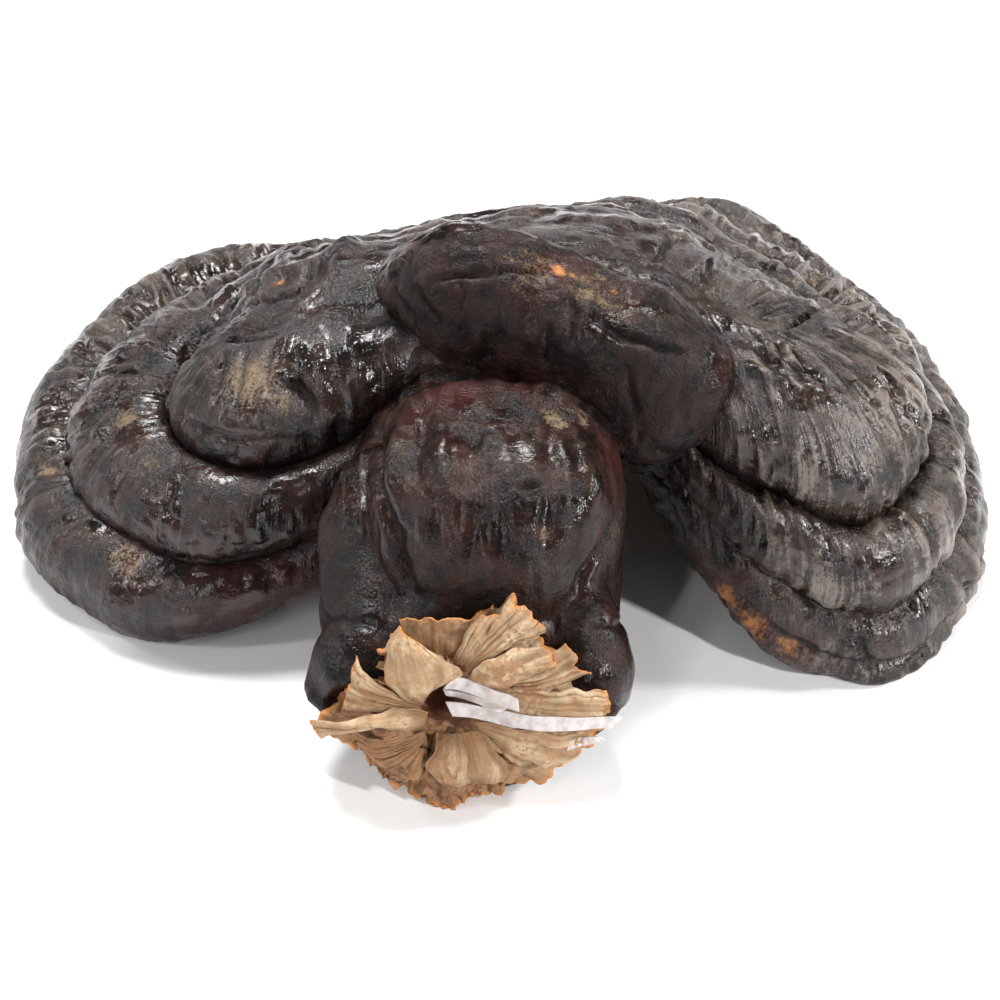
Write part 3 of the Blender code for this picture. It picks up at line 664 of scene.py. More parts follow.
def markSkin(piece):
    points = pointsOf(piece)
    addMarks(piece, "facing", normalsOf(piece))
    for name, places in skinMarks.items():
        addMarks(piece, name, spots(points, places))
    x, y, z = points.T
    # real grey bloom, partly painted light: thinner low at the front except on the right lobe
    right, back, low = ease(x, 25, 62), ease(y, 40, 90), ease(y + 1.2 * z, 0, 60)
    amount = powder["least"] + powder["right"] * right + powder["back"] * back
    amount = powder["carried"].get(piece.name, 1.0) * amount
    least, more = powder["open"]
    addMarks(piece, "powder", amount * (low + (1 - low) * right))
    addMarks(piece, "open", least + more * right)
    # the skin reads these on every piece, as zeros where there are none
    for name in ("deep", "striped"):
        addMarks(piece, name, readMarks(piece, name))


capCuts = {
    "inner_tier": (
        (0.9, 1.0, ((45, 17, 60), (53, 23, 56), (61, 32, 52), (66, 45, 45))),
        (-0.9, 1.6, ((40, 20, 61), (47, 18, 59), (54, 14, 57), (62, 13, 53))),
        (0.8, 0.9, ((41, 13, 62), (48, 12, 59), (54, 9, 57), (62, 8, 53))),
        (-0.8, 1.5, ((42, 7, 60), (50, 5, 57), (60, 4, 53), (68, 4, 48))),
        (-0.9, 1.3, ((37, 31, 62), (42, 40, 59), (46, 50, 55))),
        (0.8, 0.9, ((30, 33, 63), (33, 42, 61), (36, 52, 58))),
        (0.45, 0.9, ((-65, 17, 39.5), (-57, 8, 41), (-49, 3.6, 43), (-40, 3, 42), (-32, 6, 39))),
        (-0.8, 2.0,
         ((-68, 32, 36), (-64, 43, 39), (-57, 50, 43), (-47, 48, 50), (-40, 45, 54), (-33, 50, 55),
          (-29, 60, 51))),
        (-0.7, 1.8, ((-43, 21, 55), (-40, 29, 56), (-35, 35, 57.5), (-32, 45, 56.5), (-28, 60, 52))),
        (-1.1, 1.8, ((-52, 60, 44), (-45, 60, 48), (-41, 64, 48), (-37, 69, 46))),
        (1.1, 1.2, ((-60, 38, 43), (-52, 40, 49), (-45, 37, 53), (-40, 38, 55), (-36, 48, 55))),
        (0.9, 1.0, ((-55, 28, 48), (-50, 24, 51), (-43, 22, 53.5))),
        (0.7, 0.9, ((-44, 12, 50), (-38, 10, 49), (-34, 3, 45))),
        (0.7, 0.8, ((-40, 13, 51), (-37, 6, 47), (-38, 1, 43))), (0.5, 1.2, ((-58, 8, 42), (-59, 8, 37))),
        (0.5, 1.2, ((-51, 4, 42), (-52, 4, 37))), (0.5, 1.2, ((-44, 4, 42), (-45, 4, 36))),
        (0.5, 1.2, ((-38, 5, 43), (-37, 6, 37))), (0.5, 1.1, ((-32, 6, 45), (-31, 8, 38))),
        (-0.5, 0.9, ((-39, 17, 55), (-38, 12, 53))), (-0.5, 0.9, ((-36, 17, 56), (-35, 11, 53))),
        (-0.5, 0.8, ((-32, 17, 56), (-31, 11, 53))), (-0.4, 0.8, ((-29, 17, 57), (-27, 12, 53))),
        (0.4, 0.9, ((-54, 22, 50), (-56, 12, 47))), (0.4, 0.9, ((-50, 21, 52), (-51, 8, 48))),
        (0.4, 0.9, ((-45, 19, 54), (-45, 8, 49))), (0.4, 0.8, ((-41, 14, 54), (-39, 6, 47))),
        (0.4, 0.8, ((-33, 11, 52), (-30, 7, 46))),
    ),
    "middle_roll": (
        (0.8, 0.9, ((-84, 45, 26), (-78, 40, 31), (-73, 38, 34))),
        (0.9, 0.8, ((-60, 84, 33), (-56, 76, 38), (-53, 70, 42))),
        (-0.7, 1.6, ((-78, 20, 31), (-84, 24, 27), (-88, 30, 22))),
        (-0.5, 0.9, ((-66, -2, 29), (-67, -4, 22))), (-0.5, 0.9, ((-58, -6, 30), (-58, -7, 25))),
        (-0.5, 0.8, ((-54, -6, 30), (-55, -7, 24))), (-0.5, 0.8, ((-52, -6, 30), (-52, -7, 24))),
        (-0.5, 0.9, ((-47, -6, 29), (-48, -6, 24))), (-0.4, 0.8, ((-42, -5, 27), (-42, -3, 21))),
    ),
    "margin_roll": (
        (0.8, 0.9, ((-80, 84, 24), (-84, 90, 17), (-82, 94, 10))),
        (-0.4, 0.9, ((-59, -6, 19), (-59, -9, 18))), (-0.4, 0.9, ((-54, -7, 19), (-55, -10, 17))),
        (-0.4, 0.9, ((-48, -7, 19), (-49, -10, 17))), (-0.4, 0.9, ((-42, -7, 19), (-43, -9, 17))),
        (0.9, 1.0, ((-98, 26, 19), (-101, 24, 12), (-100, 21, 5))),
        (0.8, 1.0, ((70, -18, 12), (72, -21, 7), (73, -21, 2))),
        (0.7, 0.8, ((-45, 100, 26), (-44, 105, 18), (-43, 106, 10))),
    ),
}

innerTier, middleRoll, marginRoll = buildDome(), buildMiddleRoll(), buildMargin()
underside = buildUnderside()
for piece in (innerTier, middleRoll, marginRoll):
    roughenCap(piece)
push(innerTier, -spots(pointsOf(innerTier), cap["dents"]))
hemMargin(marginRoll)
for piece in (innerTier, middleRoll, marginRoll):
    scoreLines(piece, capCuts[piece.name], 1.8)
    markSkin(piece)
print("cap rolls laid")


# Brow, the second lobe over the stem

def loft(name, centres, sides, ups, columns, grainLength):
    # rings of points round a line, their ends drawn to a point
    rings = centres[:, None] + sides + ups
    first, last = rings[:1].mean(1, keepdims=True), rings[-1:].mean(1, keepdims=True)
    rings = np.concatenate([np.repeat(first, columns + 1, 1), rings, np.repeat(last, columns + 1, 1)])
    piece = layGrid(name, rings)
    around = np.linspace(0, 2 * math.pi, columns + 1)
    radius = np.linalg.norm(sides + ups, axis=2).mean()
    along = np.broadcast_to(np.linspace(0, grainLength, len(rings))[:, None], rings.shape[:2])
    ring = [np.broadcast_to(radius * turned, rings.shape[:2]) for turned in (np.cos(around), np.sin(around))]
    addMarks(piece, "grain", np.stack([*ring, along], -1))
    sew(piece)
    return piece


def buildLobe(name, shape):
    # a lump lofted along a line; an edge under 1 makes its sections squarer than an ellipse
    line = curveSteps(shape["line"], shape["along"])
    tangent = unit(np.gradient(line[:, :3], axis=0))
    side = unit(np.cross(tangent, [0, 0, 1.0]))
    up = np.cross(side, tangent)
    angle = np.linspace(0, 2 * math.pi, shape["around"] + 1)
    across, above = (np.sign(bent) * np.abs(bent) ** shape["edge"] for bent in (np.cos(angle), np.sin(angle)))
    steps = np.linspace(0, 1, shape["along"])[:, None]
    lump = 1 + shape["uneven"] * ripples(angle[None] / (2 * math.pi) + 1.61 * steps, 1, 3, 4, 21)
    sides = (line[:, None, 3] * across * lump)[..., None] * side[:, None]
    ups = (line[:, None, 4] * above * lump)[..., None] * up[:, None]
    return loft(name, line[:, :3], sides, ups, shape["around"], shape["grainLength"])


brow = {
    # along it: x, y, z, half depth, half height
    "line": (
        (-19.5, 28, 56, 4, 6), (-16, 27.2, 58.5, 9, 11.5), (-10, 26, 60, 12.5, 14.5),
        (-1, 24, 60.5, 13, 15), (8, 20.5, 58.5, 13, 14.5), (16, 16.3, 56, 13, 15.5),
        (24, 12.3, 53, 13.5, 18), (32, 9.3, 51.5, 12.5, 17), (40, 7.5, 51, 9.5, 12), (46, 6.5, 50.5, 4, 5),
    ),
    "around": 200,
    "along": 150,
    "edge": 0.8,
    "uneven": 0.022,
    "grainLength": 75.0,
    "swellings": ((1.3, 15, 31), (0.6, 6.5, 32)),
    "folds": ((creased, 0.45, (5, 5, 11), 33, 0.6), (ridged, 0.3, (3, 3, 9), 34, 0.3)),
    "cuts": (
        (1.0, 0.7,
         ((-14, 17, 70), (-6.5, 15.7, 72.5), (-0.6, 15.3, 73.4), (4.8, 15.9, 73), (9.2, 16.1, 72))),
        (0.8, 0.6, ((-1.7, 21.2, 75.6), (-1.2, 17.7, 74.7), (-0.6, 15.3, 73.4))),
        (1.0, 0.8, ((14, 15, 71.5), (14.1, 10, 70), (13.9, 6.9, 67.6), (13, 5, 62))),
        (1.1, 1.0, ((10, 8.2, 67.4), (9.2, 6.3, 62.7), (8.1, 6, 57))),
        (1.1, 0.9, ((16, 7.4, 68.6), (19.7, 5, 68), (22.9, 2.7, 67.2), (29.9, 1.1, 66), (37, 2.4, 63.6))),
        (0.9, 1.2, ((25.3, 14.6, 70.3), (29.8, 10.5, 70.2), (34.8, 9.9, 67.7), (40, 8, 62))),
        (-1.0, 2.0, ((22, 17, 70), (28, 14, 70.5), (33, 13, 68.5))),
        (0.9, 0.9, ((-17, 18, 69), (-14, 13, 66), (-12, 11.5, 60))),
        (0.8, 0.8, ((-20, 22, 66), (-18, 16, 62), (-16, 15, 57))),
        (0.8, 0.7, ((-8, 15.8, 72), (-7, 11, 69), (-8, 9.5, 64))),
        (0.7, 0.7, ((24, 0.5, 63), (25, -1.5, 57), (26, -1.5, 51))),
        (-1.0, 2.2, ((-14, 22, 74), (-6, 20, 75.5), (2, 20, 75), (9, 18.5, 73.5))),
    ),
}


def buildBrow():
    piece = buildLobe("brow", brow)
    wrinkle(piece, brow)
    scoreLines(piece, brow["cuts"], 1.2)
    markSkin(piece)
    return piece


browPiece = buildBrow()
print("brow laid")


# Stem and its swollen knee

# the torn face of the stem: the middle of its hole, and its lean in degrees
foot = {"hole": (-9, -46, 19), "lean": 23.0}

stem = {
    # from inside the cap to the torn foot: x, y, z, half width, half height, lean, narrowing
    "line": (
        (-4, 36, 42, 16, 10, 0, 0), (-4, 24, 38, 19, 15, 0, 0), (-4, 12, 34, 23, 19, 0, 0),
        (-4.5, 2, 30, 27, 21, 2, 0.1), (-5.5, -8, 26, 29, 21, 6, 0.2), (-5.5, -18, 23, 28.5, 20, 10, 0.3),
        (-5.5, -27, 20.5, 27.5, 19, 14, 0.4), (-6, -35, 19, 28, 18.6, 18, 0.42),
        (-6.6, -41, 18.4, 29.4, 19.2, 23, 0.42), (-6.8, -44.5, 18.0, 28.6, 18.8, 23, 0.42),
    ),
    # how much its under side narrows too, and how much less on the right
    "below": (0.57, 0.28),
    # the skirts beside the knee: x, y, z, half width, half thickness
    "skirts": (
        ((-21, 6, 38, 5, 5), (-21.5, -3, 36, 8.5, 10), (-23.5, -13, 31, 10, 12),
         (-24, -24, 25.5, 9.5, 11.5), (-24, -33, 20.5, 9, 12), (-25.5, -40.5, 18.5, 9.3, 10.5),
         (-25.5, -43.5, 17, 6.5, 7.5)),
        ((15, 4, 38, 6, 6), (16, -6, 35, 8, 10), (14.5, -18, 29, 7.5, 11), (13.5, -28, 25, 7.5, 11),
         (16, -36, 21, 7.8, 12), (17.5, -41, 19, 7.5, 10), (17, -43.5, 17, 6, 7)),
    ),
    "skirt": {"around": 64, "along": 80, "edge": 0.9, "uneven": 0.02, "grainLength": 50.0},
    "knee": (-1.0, -12.5, 32),
    "kneeRadii": (24.5, 26.5, 25),
    "kneeEdges": (0.92, 0.66),
    "voxel": 0.68,
    "easing": 14,
    # how far the whole skin is swollen, soft folds all over, and upright pleats on the knee
    "outset": 0.5,
    "swellings": ((1.2, (13, 16, 22), 41), (0.35, (5, 10, 18), 42)),
    "folds": ((creased, 0.35, (7, 9, 16), 43, 0.6), (ridged, 0.2, (4, 5, 9), 47, 0.3)),
    "pleats": ((ridged, 0.6, (3.6, 22, 26), 48, 0.3),),
    "pleatsFrom": (30, 44),
    # the stem is pushed in behind the torn hole, so deep within this radius
    "openRadius": 7,
    "openDepth": 11,
    "cuts": (
        (1.5, 1.5,
         ((-24.4, 8, 44), (-22.5, -10, 49), (-21, -20, 48), (-19.4, -28.4, 45), (-15.8, -34, 35.4),
          (-12.9, -38, 33))),
        (1.6, 1.6, ((20, -20, 44), (18.8, -27.6, 41.2), (16.3, -31, 38.9), (13, -34.6, 34.7))),
        (0.9, 2.0, ((-15, -6, 56), (-15, -15, 55.5), (-15, -28.4, 52.2))),
        (1.0, 1.9, ((-5.6, -12, 57), (-5.6, -20, 56.6), (-5.1, -30.2, 53.6))),
        (0.9, 1.8, ((9.5, -12, 57), (9.5, -26.1, 55), (8.2, -32, 50.4), (7, -36, 43))),
        (-0.8, 2.0, ((-20, -6, 54), (-19.5, -15, 53), (-19, -25, 49))),
        (-0.8, 2.2, ((-10.5, -8, 56.5), (-10.5, -18, 56), (-10, -30, 53))),
        (-0.8, 2.2, ((15.5, -8, 55), (16, -18, 53), (15.5, -28, 49))),
        (0.9, 0.5, ((3, -28.7, 54.6), (6, -27.8, 55), (8.2, -27.4, 54.9))),
        (0.8, 0.8, ((-33, -24, 30), (-30, -32, 27), (-22, -38, 27))),
        (0.9, 1.0, ((24, -30, 26), (20, -36, 27), (16, -40, 30))),
        (-0.9, 2.0, ((-31, -10, 38), (-31, -22, 33), (-33, -34, 24))),
    ),
}


def buildKnee():
    bpy.ops.object.select_all(action="DESELECT")
    bpy.ops.mesh.primitive_uv_sphere_add(segments=96, ring_count=64, radius=1.0)
    knee = bpy.context.object
    ball = np.array([v.co for v in knee.data.vertices])
    top = ease(0.6 * ball[:, 1] + 0.8 * ball[:, 2], -0.3, 0.5)[:, None]
    low, high = stem["kneeEdges"]
    ball = np.sign(ball) * np.abs(ball) ** (low + (high - low) * top)
    setPoints(knee, np.array(stem["knee"]) + ball * stem["kneeRadii"])
    return knee


def openFoot(piece):
    # opens the stem behind the torn hole
    points = pointsOf(piece)
    x, y, z = points.T - np.array(foot["hole"])[:, None]
    lean = math.radians(foot["lean"])
    up, off = y * math.sin(lean) + z * math.cos(lean), z * math.sin(lean) - y * math.cos(lean)
    inside = (np.hypot(x / 1.15, up / 0.9) < stem["openRadius"]) & (off > -8)
    points[inside] -= stem["openDepth"] * np.array([0, -math.cos(lean), math.sin(lean)])
    setPoints(piece, points)


def buildStem():
    line = curveSteps(stem["line"], 60)
    around = np.linspace(0, 1, 97)
    cos, sin = np.cos(around * 2 * math.pi), np.sin(around * 2 * math.pi)
    lump = 1 + 0.02 * ripples(around, 2, 7, 4, 5)
    under, underRight = stem["below"]
    below = np.clip(-sin, 0, 1) * (under - underRight * cos)
    wide = line[:, None, 3] * cos * lump * (1 - line[:, None, 6] * (np.clip(sin, 0, 1) + below))
    tall = line[:, None, 4] * sin * lump
    lean = np.radians(line[:, None, 5])
    zero = np.zeros_like(wide)
    piece = loft("stem", line[:, :3], np.stack([wide, zero, zero], -1),
                 np.stack([zero, tall * np.sin(lean), tall * np.cos(lean)], -1), 96, 90.0)
    skirts = [buildLobe("skirt", {**stem["skirt"], "line": rows}) for rows in stem["skirts"]]
    # joined, made one skin, then eased where they meet
    pick(piece, *skirts, buildKnee())
    bpy.ops.object.join()
    finishWith(piece, "REMESH", mode="VOXEL", voxel_size=stem["voxel"] * mm)
    finishWith(piece, "SMOOTH", factor=0.5, iterations=stem["easing"])
    bpy.ops.object.shade_smooth()
    points = pointsOf(piece)
    addMarks(piece, "grain", points * (1, 1, 0.5))
    wrinkle(piece, stem, ease(points[:, 2], *stem["pleatsFrom"]) * foldsOn(points, stem["pleats"]))
    openFoot(piece)
    scoreLines(piece, stem["cuts"], 1.5)
    markSkin(piece)
    return piece


tongue = {
    # the tissue between cap and knee: x, y, z, half depth, half height
    "line": (
        (-50, 20, 40, 4.8, 4.8), (-42, 18.5, 44, 6, 6), (-34, 18, 46.5, 6, 6), (-25, 18.5, 48.5, 6, 6),
        (-16, 19, 50, 6, 6), (-6, 21, 51, 5.4, 5.4),
    ),
    "around": 72,
    "along": 70,
    "edge": 1.0,
    "uneven": 0.0,
    "grainLength": 45.0,
    "swellings": ((0.8, 8, 44), (0.3, 3.5, 45)),
    "folds": ((creased, 0.5, (3.5, 9, 9), 46, 0.6),),
}


def buildTongue():
    piece = buildLobe("tongue", tongue)
    wrinkle(piece, tongue)
    markSkin(piece)
    return piece


stemPiece = buildStem()
tonguePiece = buildTongue()
print("stem laid")


# Torn foot

tear = {
    "holeRadius": 5.0,
    "holeSpread": (1.12, 0.84),
    "holeDepth": 9.0,
    "base": 0.75,
    "columns": 520,
    "rows": 76,
    # folds that run out from the hole, and the crumple over them
    "folds": ((creased, 2.1, 1, 36, 0.55), (ridged, 1.3, (0.62, 0.62, 1.2), 37, 0.35)),
    "crumple": ((creased, 1.0, 5, 61, 0.6), (creased, 0.45, 2.2, 62, 0.6)),
    # lightness of the tissue at the lower left, and how much lighter it is at the upper right
    "lightness": (0.42, 0.50),
    # the torn rim round the hole, as (across, up) on the leaning face
    "rim": (
        (29, -3), (25, 4), (22, 9), (16, 12), (11.5, 20), (6, 17), (0, 14), (-9, 14.5), (-13, 10), (-19, 4),
        (-25, -5), (-18, -8), (-14, -14), (-7, -18.5), (0, -20), (7, -18.5), (14, -16), (21, -13), (27, -8),
    ),
    # brown stains along the lower rim: x, y, z, radius, strength
    "stains": (
        (-29, -51, 15, 6, 0.8), (-24, -54, 13, 7, 1.0), (-18, -55, 8, 7, 1.0), (-12, -54, 5, 6, 0.9),
        (-4, -53, 2, 5, 0.8), (5, -52, 2, 5, 0.6),
    ),
    "stainDepth": 0.65,
}


def onFace(across, up, off):
    # places on the leaning torn face, off being the distance out from it
    lean = math.radians(foot["lean"])
    across, up, off = np.broadcast_arrays(across, up, off)
    x, y, z = foot["hole"]
    return np.stack([x + across, y + up * math.sin(lean) - off * math.cos(lean),
                     z + up * math.cos(lean) + off * math.sin(lean)], -1)


def turnOf(across, up):
    return np.mod(np.arctan2(up, across) / (2 * math.pi), 1)


def rimReach(turn):
    rim = curveLoop(tear["rim"], np.linspace(0, len(tear["rim"]), 721)[:-1])
    at = turnOf(*rim.T)
    order = np.argsort(at)
    return np.interp(turn, at[order], np.hypot(*rim.T)[order], period=1)


def foldHeight(turn, share):
    # how far the tissue stands off the face: a swelling body and folds that run out from the hole
    angle = turn * 2 * math.pi
    at = np.stack([4.6 * np.cos(angle), 4.6 * np.sin(angle), 1.3 * share + 0 * angle], -1)
    body = tear["base"] * (2.5 + 4.5 * np.sin(math.pi * np.clip(share, 0, 1) ** 0.8))
    folds = foldsOn(at, tear["folds"]) * ease(share, 0.02, 0.4)
    return body * (1 + 0.25 * ripples(turn, 1, 4, 3, 33)) + folds


def buildTear():
    turn = np.linspace(0, 1, tear["columns"] + 1)
    angle = turn * 2 * math.pi
    ring = np.stack([np.cos(angle), np.sin(angle), 0 * angle], -1)
    reach = rimReach(turn) * (1 + 0.16 * softNoise(ring, 0.30, 34) + 0.07 * softNoise(ring, 0.07, 35))
    wide, high = tear["holeSpread"]
    uneven = tear["holeRadius"] * (1 + 0.07 * ripples(turn, 2, 9, 4, 35))
    hole = uneven / np.hypot(ring[:, 0] / wide, ring[:, 1] / high)
    # the hole's floor and wall, the folds out to the torn rim, and the hidden back
    depth = tear["holeDepth"] * np.ones_like(turn)
    rings = [(hole * 0.02, -depth)]
    rings += [(hole * (0.4 + 0.6 * k**0.5), -depth * (1 - k)) for k in np.linspace(0, 1, 10)]
    for share in np.linspace(0.02, 1, tear["rows"]):
        height = foldHeight(turn, np.full_like(turn, share)) * (1 - 0.35 * share**4)
        rings.append((hole + (reach - hole) * share, height))
    visible = len(rings)
    back = ((0.96, -1.5), (0.72, -6.0), (0.4, -13.0), (0.02, -13.2))
    rings += [(reach * scale, np.full_like(turn, off)) for scale, off in back]
    rows = np.array([onFace(r * ring[:, 0], r * ring[:, 1], off) for r, off in rings])
    piece = layGrid("torn_tissue", rows)
    index = np.arange(len(rings))[:, None]
    grain = np.broadcast_arrays(14 * ring[None, :, 0], 14 * ring[None, :, 1], 0.3 * index)
    addMarks(piece, "grain", np.stack(grain, -1))
    least, more = tear["lightness"]
    side = least + more * ease(ring[:, 0] + 0.6 * ring[:, 1], -0.2, 0.7)
    addMarks(piece, "light", (index >= 12) * side[None])
    addMarks(piece, "edge", ease(index, visible - 9, visible - 1) + 0 * side[None])
    sew(piece)
    points = pointsOf(piece)
    light = readMarks(piece, "light")
    outside, brown = ease(light, 0.1, 0.35), 1 - ease(light, 0.45, 0.8)
    crumple = foldsOn(points, tear["crumple"])
    push(piece, outside * crumple * (0.6 + 0.9 * brown) + 0.2 * softNoise(points, 1.3, 63))
    # painted shade: the crumple's hollows darker and its crests lighter, in the light mark
    addMarks(piece, "light", light * np.clip(0.95 + 0.30 * crumple * (0.5 + brown), 0.3, 1.5))
    return piece


sheets = {
    "thickness": 0.3,
    "rows": 44,
    "columns": 34,
    "torn": ((1.7, 3.4, 71), (0.7, 1.1, 72)),
    "waves": ((creased, 0.55, 1, 67, 0.0), (ridged, 0.45, (0.85, 1.3, 1), 68, 0.0)),
    "crumple": ((1.9, 5.5, 64), (0.8, 2.4, 65), (0.25, 1.0, 66)),
    # each torn sheet: its left and right edges from the root out, as (across, up, off) on the face,
    # then count and depth of folds, bulge of the middle, raggedness of the tip, lightness
    "upper": (
        (((-7, 10, 4.0), (-8.6, 14, 5), (-9.6, 17, 4.5)),
         ((1.8, 8.2, 4.5), (2.6, 12.5, 6), (3.8, 17.4, 5.5)), 5, 0.9, 0.4, 2.0, 0.40),
        (((0.3, 9.0, 6), (2.2, 14, 8), (5.6, 18.8, 7)), ((2.6, 8.6, 6), (5.4, 13.6, 8.4), (9.6, 18.6, 7.5)),
         2, 0.8, 0.5, 1.8, 0.78),
        (((1.7, 7.4, 5.5), (4, 12, 7.8), (7.6, 17, 7.8), (11.2, 22.4, 5.5)),
         ((4.5, 7.4, 6), (9.4, 11.5, 8), (14.5, 14.2, 7.6), (17.6, 15, 6)), 5, 1.6, 0.8, 3.0, 0.82),
        (((3.4, 6.6, 6.6), (6, 10.0, 8.8), (10.5, 12.6, 9.2), (17, 12.6, 7.6)),
         ((4.5, 5.0, 6.2), (9.4, 4.6, 7.8), (14.4, 6.8, 8.6), (19.6, 9.4, 7.2)), 1.4, 0.5, 1.5, 1.4, 1.0),
        (((11.0, 6.6, 6.5), (17, 9.2, 7.8), (21, 13.0, 6.5)),
         ((10.3, 3.8, 6.0), (17, 4.6, 7.2), (25.5, 6.6, 6)), 3, 1.1, 0.6, 3.2, 0.85),
        (((6.5, 3.9, 5.8), (15, 4.2, 7.4), (22, 4.4, 7.6), (28.5, 3.4, 5.5)),
         ((5.5, 0.6, 5.2), (14, -0.4, 6.8), (22, -1.2, 7.2), (29.5, -1.8, 5)), 4, 1.1, 0.6, 2.4, 0.92),
        (((-5.6, 0.3, 4.4), (-9.8, 3.8, 7), (-12, 8.4, 9), (-11.6, 13, 9.2), (-9.2, 16.8, 8.2)),
         ((-3.6, 4.2, 5.2), (0.6, 6.0, 6.4), (1.8, 8, 7.6), (-1.4, 11, 10), (-6.2, 14.4, 10.4)), 1.6, 0.8,
         1.8, 1.0, 1.0),
    ),
    "lower": (
        (((-6, 1, 4.5), (-11, 3.4, 6), (-15.5, 7, 7), (-17.4, 9.6, 5)),
         ((-6.3, -0.3, 4.5), (-11, 0.1, 6), (-16, -0.2, 6.5), (-20, -0.8, 5)), 5, 1.3, 0.6, 2.4, 0.88),
        (((-5, -4.5, 4.5), (-9, -4.8, 6.5), (-15, -5.2, 6), (-18.8, -4.6, 4)),
         ((-4.5, -6, 4.5), (-8, -9, 6.5), (-12, -11.5, 5.5), (-14.4, -10.8, 3.5)), 5, 1.6, 0.6, 3.0, 0.48),
        (((4.2, -2.3, 5.2), (12, -3, 7), (20, -4.2, 7.5), (27, -4.8, 5)),
         ((6, -5, 5), (11, -8, 6.8), (17, -10.4, 7), (23, -10, 4.5)), 3, 1.0, 1.0, 2.6, 0.88),
        (((-2.8, -5.0, 4.8), (-3.8, -9, 7.6), (-3.4, -12.8, 7.2), (-1.8, -14.6, 5.0)),
         ((2.0, -4.8, 5), (2.2, -9, 8.4), (2.2, -13, 7.8), (1.6, -15.4, 5.4)), 2.4, 1.1, 0.7, 2.4, 0.80),
        (((1.6, -4.8, 5.2), (2.4, -9, 8.2), (2.6, -12.5, 7.8), (2.2, -15.2, 5.2)),
         ((5.8, -4.2, 5), (8.6, -8.0, 7.2), (10.4, -12, 7), (9.6, -14.6, 4.6)), 2.6, 1.1, 0.6, 3.0, 0.74),
        (((-4.2, -0.6, 5), (-9, 0.8, 7.5), (-14, -0.2, 8), (-20.3, -1.4, 7.5), (-26, -2.2, 4)),
         ((-5, -3.2, 5), (-9, -3.6, 8), (-14, -2.8, 8), (-19.5, -4.2, 7), (-24.2, -6.0, 4)), 1.6, 0.9, 1.8,
         1.6, 0.92),
        (((-8, -3, 5), (-11.5, -2.2, 6.8), (-14.8, -3.6, 6)),
         ((-6.8, -5, 5), (-10, -6.6, 6.8), (-12.6, -8.4, 5)), 4, 1.3, 0.5, 1.6, 0.34),
        (((-7, -7.5, 5), (-9.4, -7.6, 6.6), (-10.6, -8.6, 6)),
         ((-4.4, -8, 5), (-5.4, -12, 6.4), (-6.4, -15, 5)), 3, 1.4, 0.8, 2.4, 0.66),
    ),
}


def buildSheet(index, left, right, folds, depth, bulge, ragged, light):
    rows, columns = sheets["rows"], sheets["columns"]
    s, t = np.meshgrid(np.linspace(0, 1, rows), np.linspace(0, 1, columns), indexing="ij")
    size = np.linalg.norm(np.subtract(left[-1], left[0]))
    width = np.linalg.norm(np.subtract(right[-1], left[-1]))
    zero = 0 * t
    # torn tip, in large and small tears, and wandering sides
    rim = np.stack([t * width, zero, zero + 5.3 * index], -1)
    torn = np.clip(lumpsOn(rim, sheets["torn"]), -1.3, 0.7)
    at = (s * (1 + ragged / size * torn * s**4)).ravel()
    a, b = (curveThrough(edge, at * (len(edge) - 1)).reshape(rows, columns, 3) for edge in (left, right))
    side = np.stack([s * size, np.round(t) * 7.7, zero + 3.1 * index], -1)
    strayed = t + 1.2 * ragged / width * (t - 0.5) * softNoise(side, (2.6, 1, 1), 73)
    face = a + (b - a) * strayed[..., None]
    # folds that run out from the root at uneven distances, a bulge and a crumple
    uneven = t * folds * 1.15 + 0.5 * softNoise(side, (6, 1, 1), 74) * s
    fold = np.stack([uneven, s * 0.9, zero + 3.7 * index], -1)
    wave = foldsOn(fold, sheets["waves"])
    crumple = lumpsOn(face * (1, 1, 0) + (0, 0, 9.0 * index), sheets["crumple"])
    face[..., 2] += 1.3 * depth * (0.3 + 0.7 * s) * (wave - 0.5) + crumple * (0.25 + 0.75 * s)
    face[..., 2] += bulge * 4 * t * (1 - t) * np.sin(math.pi * (0.15 + 0.75 * s))
    piece = layGrid("sheet", onFace(face[..., 0], face[..., 1], face[..., 2]))
    addMarks(piece, "grain", np.stack([t * 9, 7.0 * index + zero, s * size * 0.6], -1))
    # painted shade: darker towards the root and in the fold valleys, kept in the light mark
    shade = (0.60 + 0.40 * ease(s, 0.0, 0.35)) * (0.62 + 0.38 * ease(wave, 0.1, 0.7) + 0.10 * crumple)
    addMarks(piece, "light", light * shade)
    addMarks(piece, "edge", np.maximum(ease(s, 0.88, 1.0), 0.5 * ease(np.abs(2 * t - 1), 0.9, 1.0)))
    return piece


def buildSheets(name, listed, first):
    pieces = [buildSheet(first + k, *values) for k, values in enumerate(listed)]
    pick(*pieces)
    bpy.ops.object.join()
    rename(pieces[0], name)
    finishWith(pieces[0], "SOLIDIFY", thickness=sheets["thickness"] * mm, offset=0)
    bpy.ops.object.shade_smooth()
    return pieces[0]


tearPiece = buildTear()
upperSheets = buildSheets("torn_sheets_upper", sheets["upper"], 0)
lowerSheets = buildSheets("torn_sheets_lower", sheets["lower"], 20)
for piece in (tearPiece, upperSheets, lowerSheets):
    stained = tear["stainDepth"] * spots(pointsOf(piece), tear["stains"])
    addMarks(piece, "light", readMarks(piece, "light") * (1 - stained))
print("torn foot laid")


# Film strips

films = {
    "thickness": 0.35,
    # how far the strips ride over the folds, and how slanted the ends of each are
    "clear": 2.0,
    "slant": (-0.9, 0.8, 1.5, -0.8),
    # the node it stands for, its ends as (across, up), width at each end, how far it stands off
    "strips": (
        ("film_wide", (-0.4, 5.9), (12.4, 2.3), 2.8, 2.2, 1.6),
        ("film_wide", (-1.2, 3.1), (9.8, 0.6), 1.3, 1.0, 1.0),
        ("film_long", (-0.4, 0.0), (30.6, -2.6), 2.8, 2.4, 1.2),
        ("film_tail", (21.5, -6.6), (28, -5.2), 1.6, 1.2, 1.2),
    ),
}


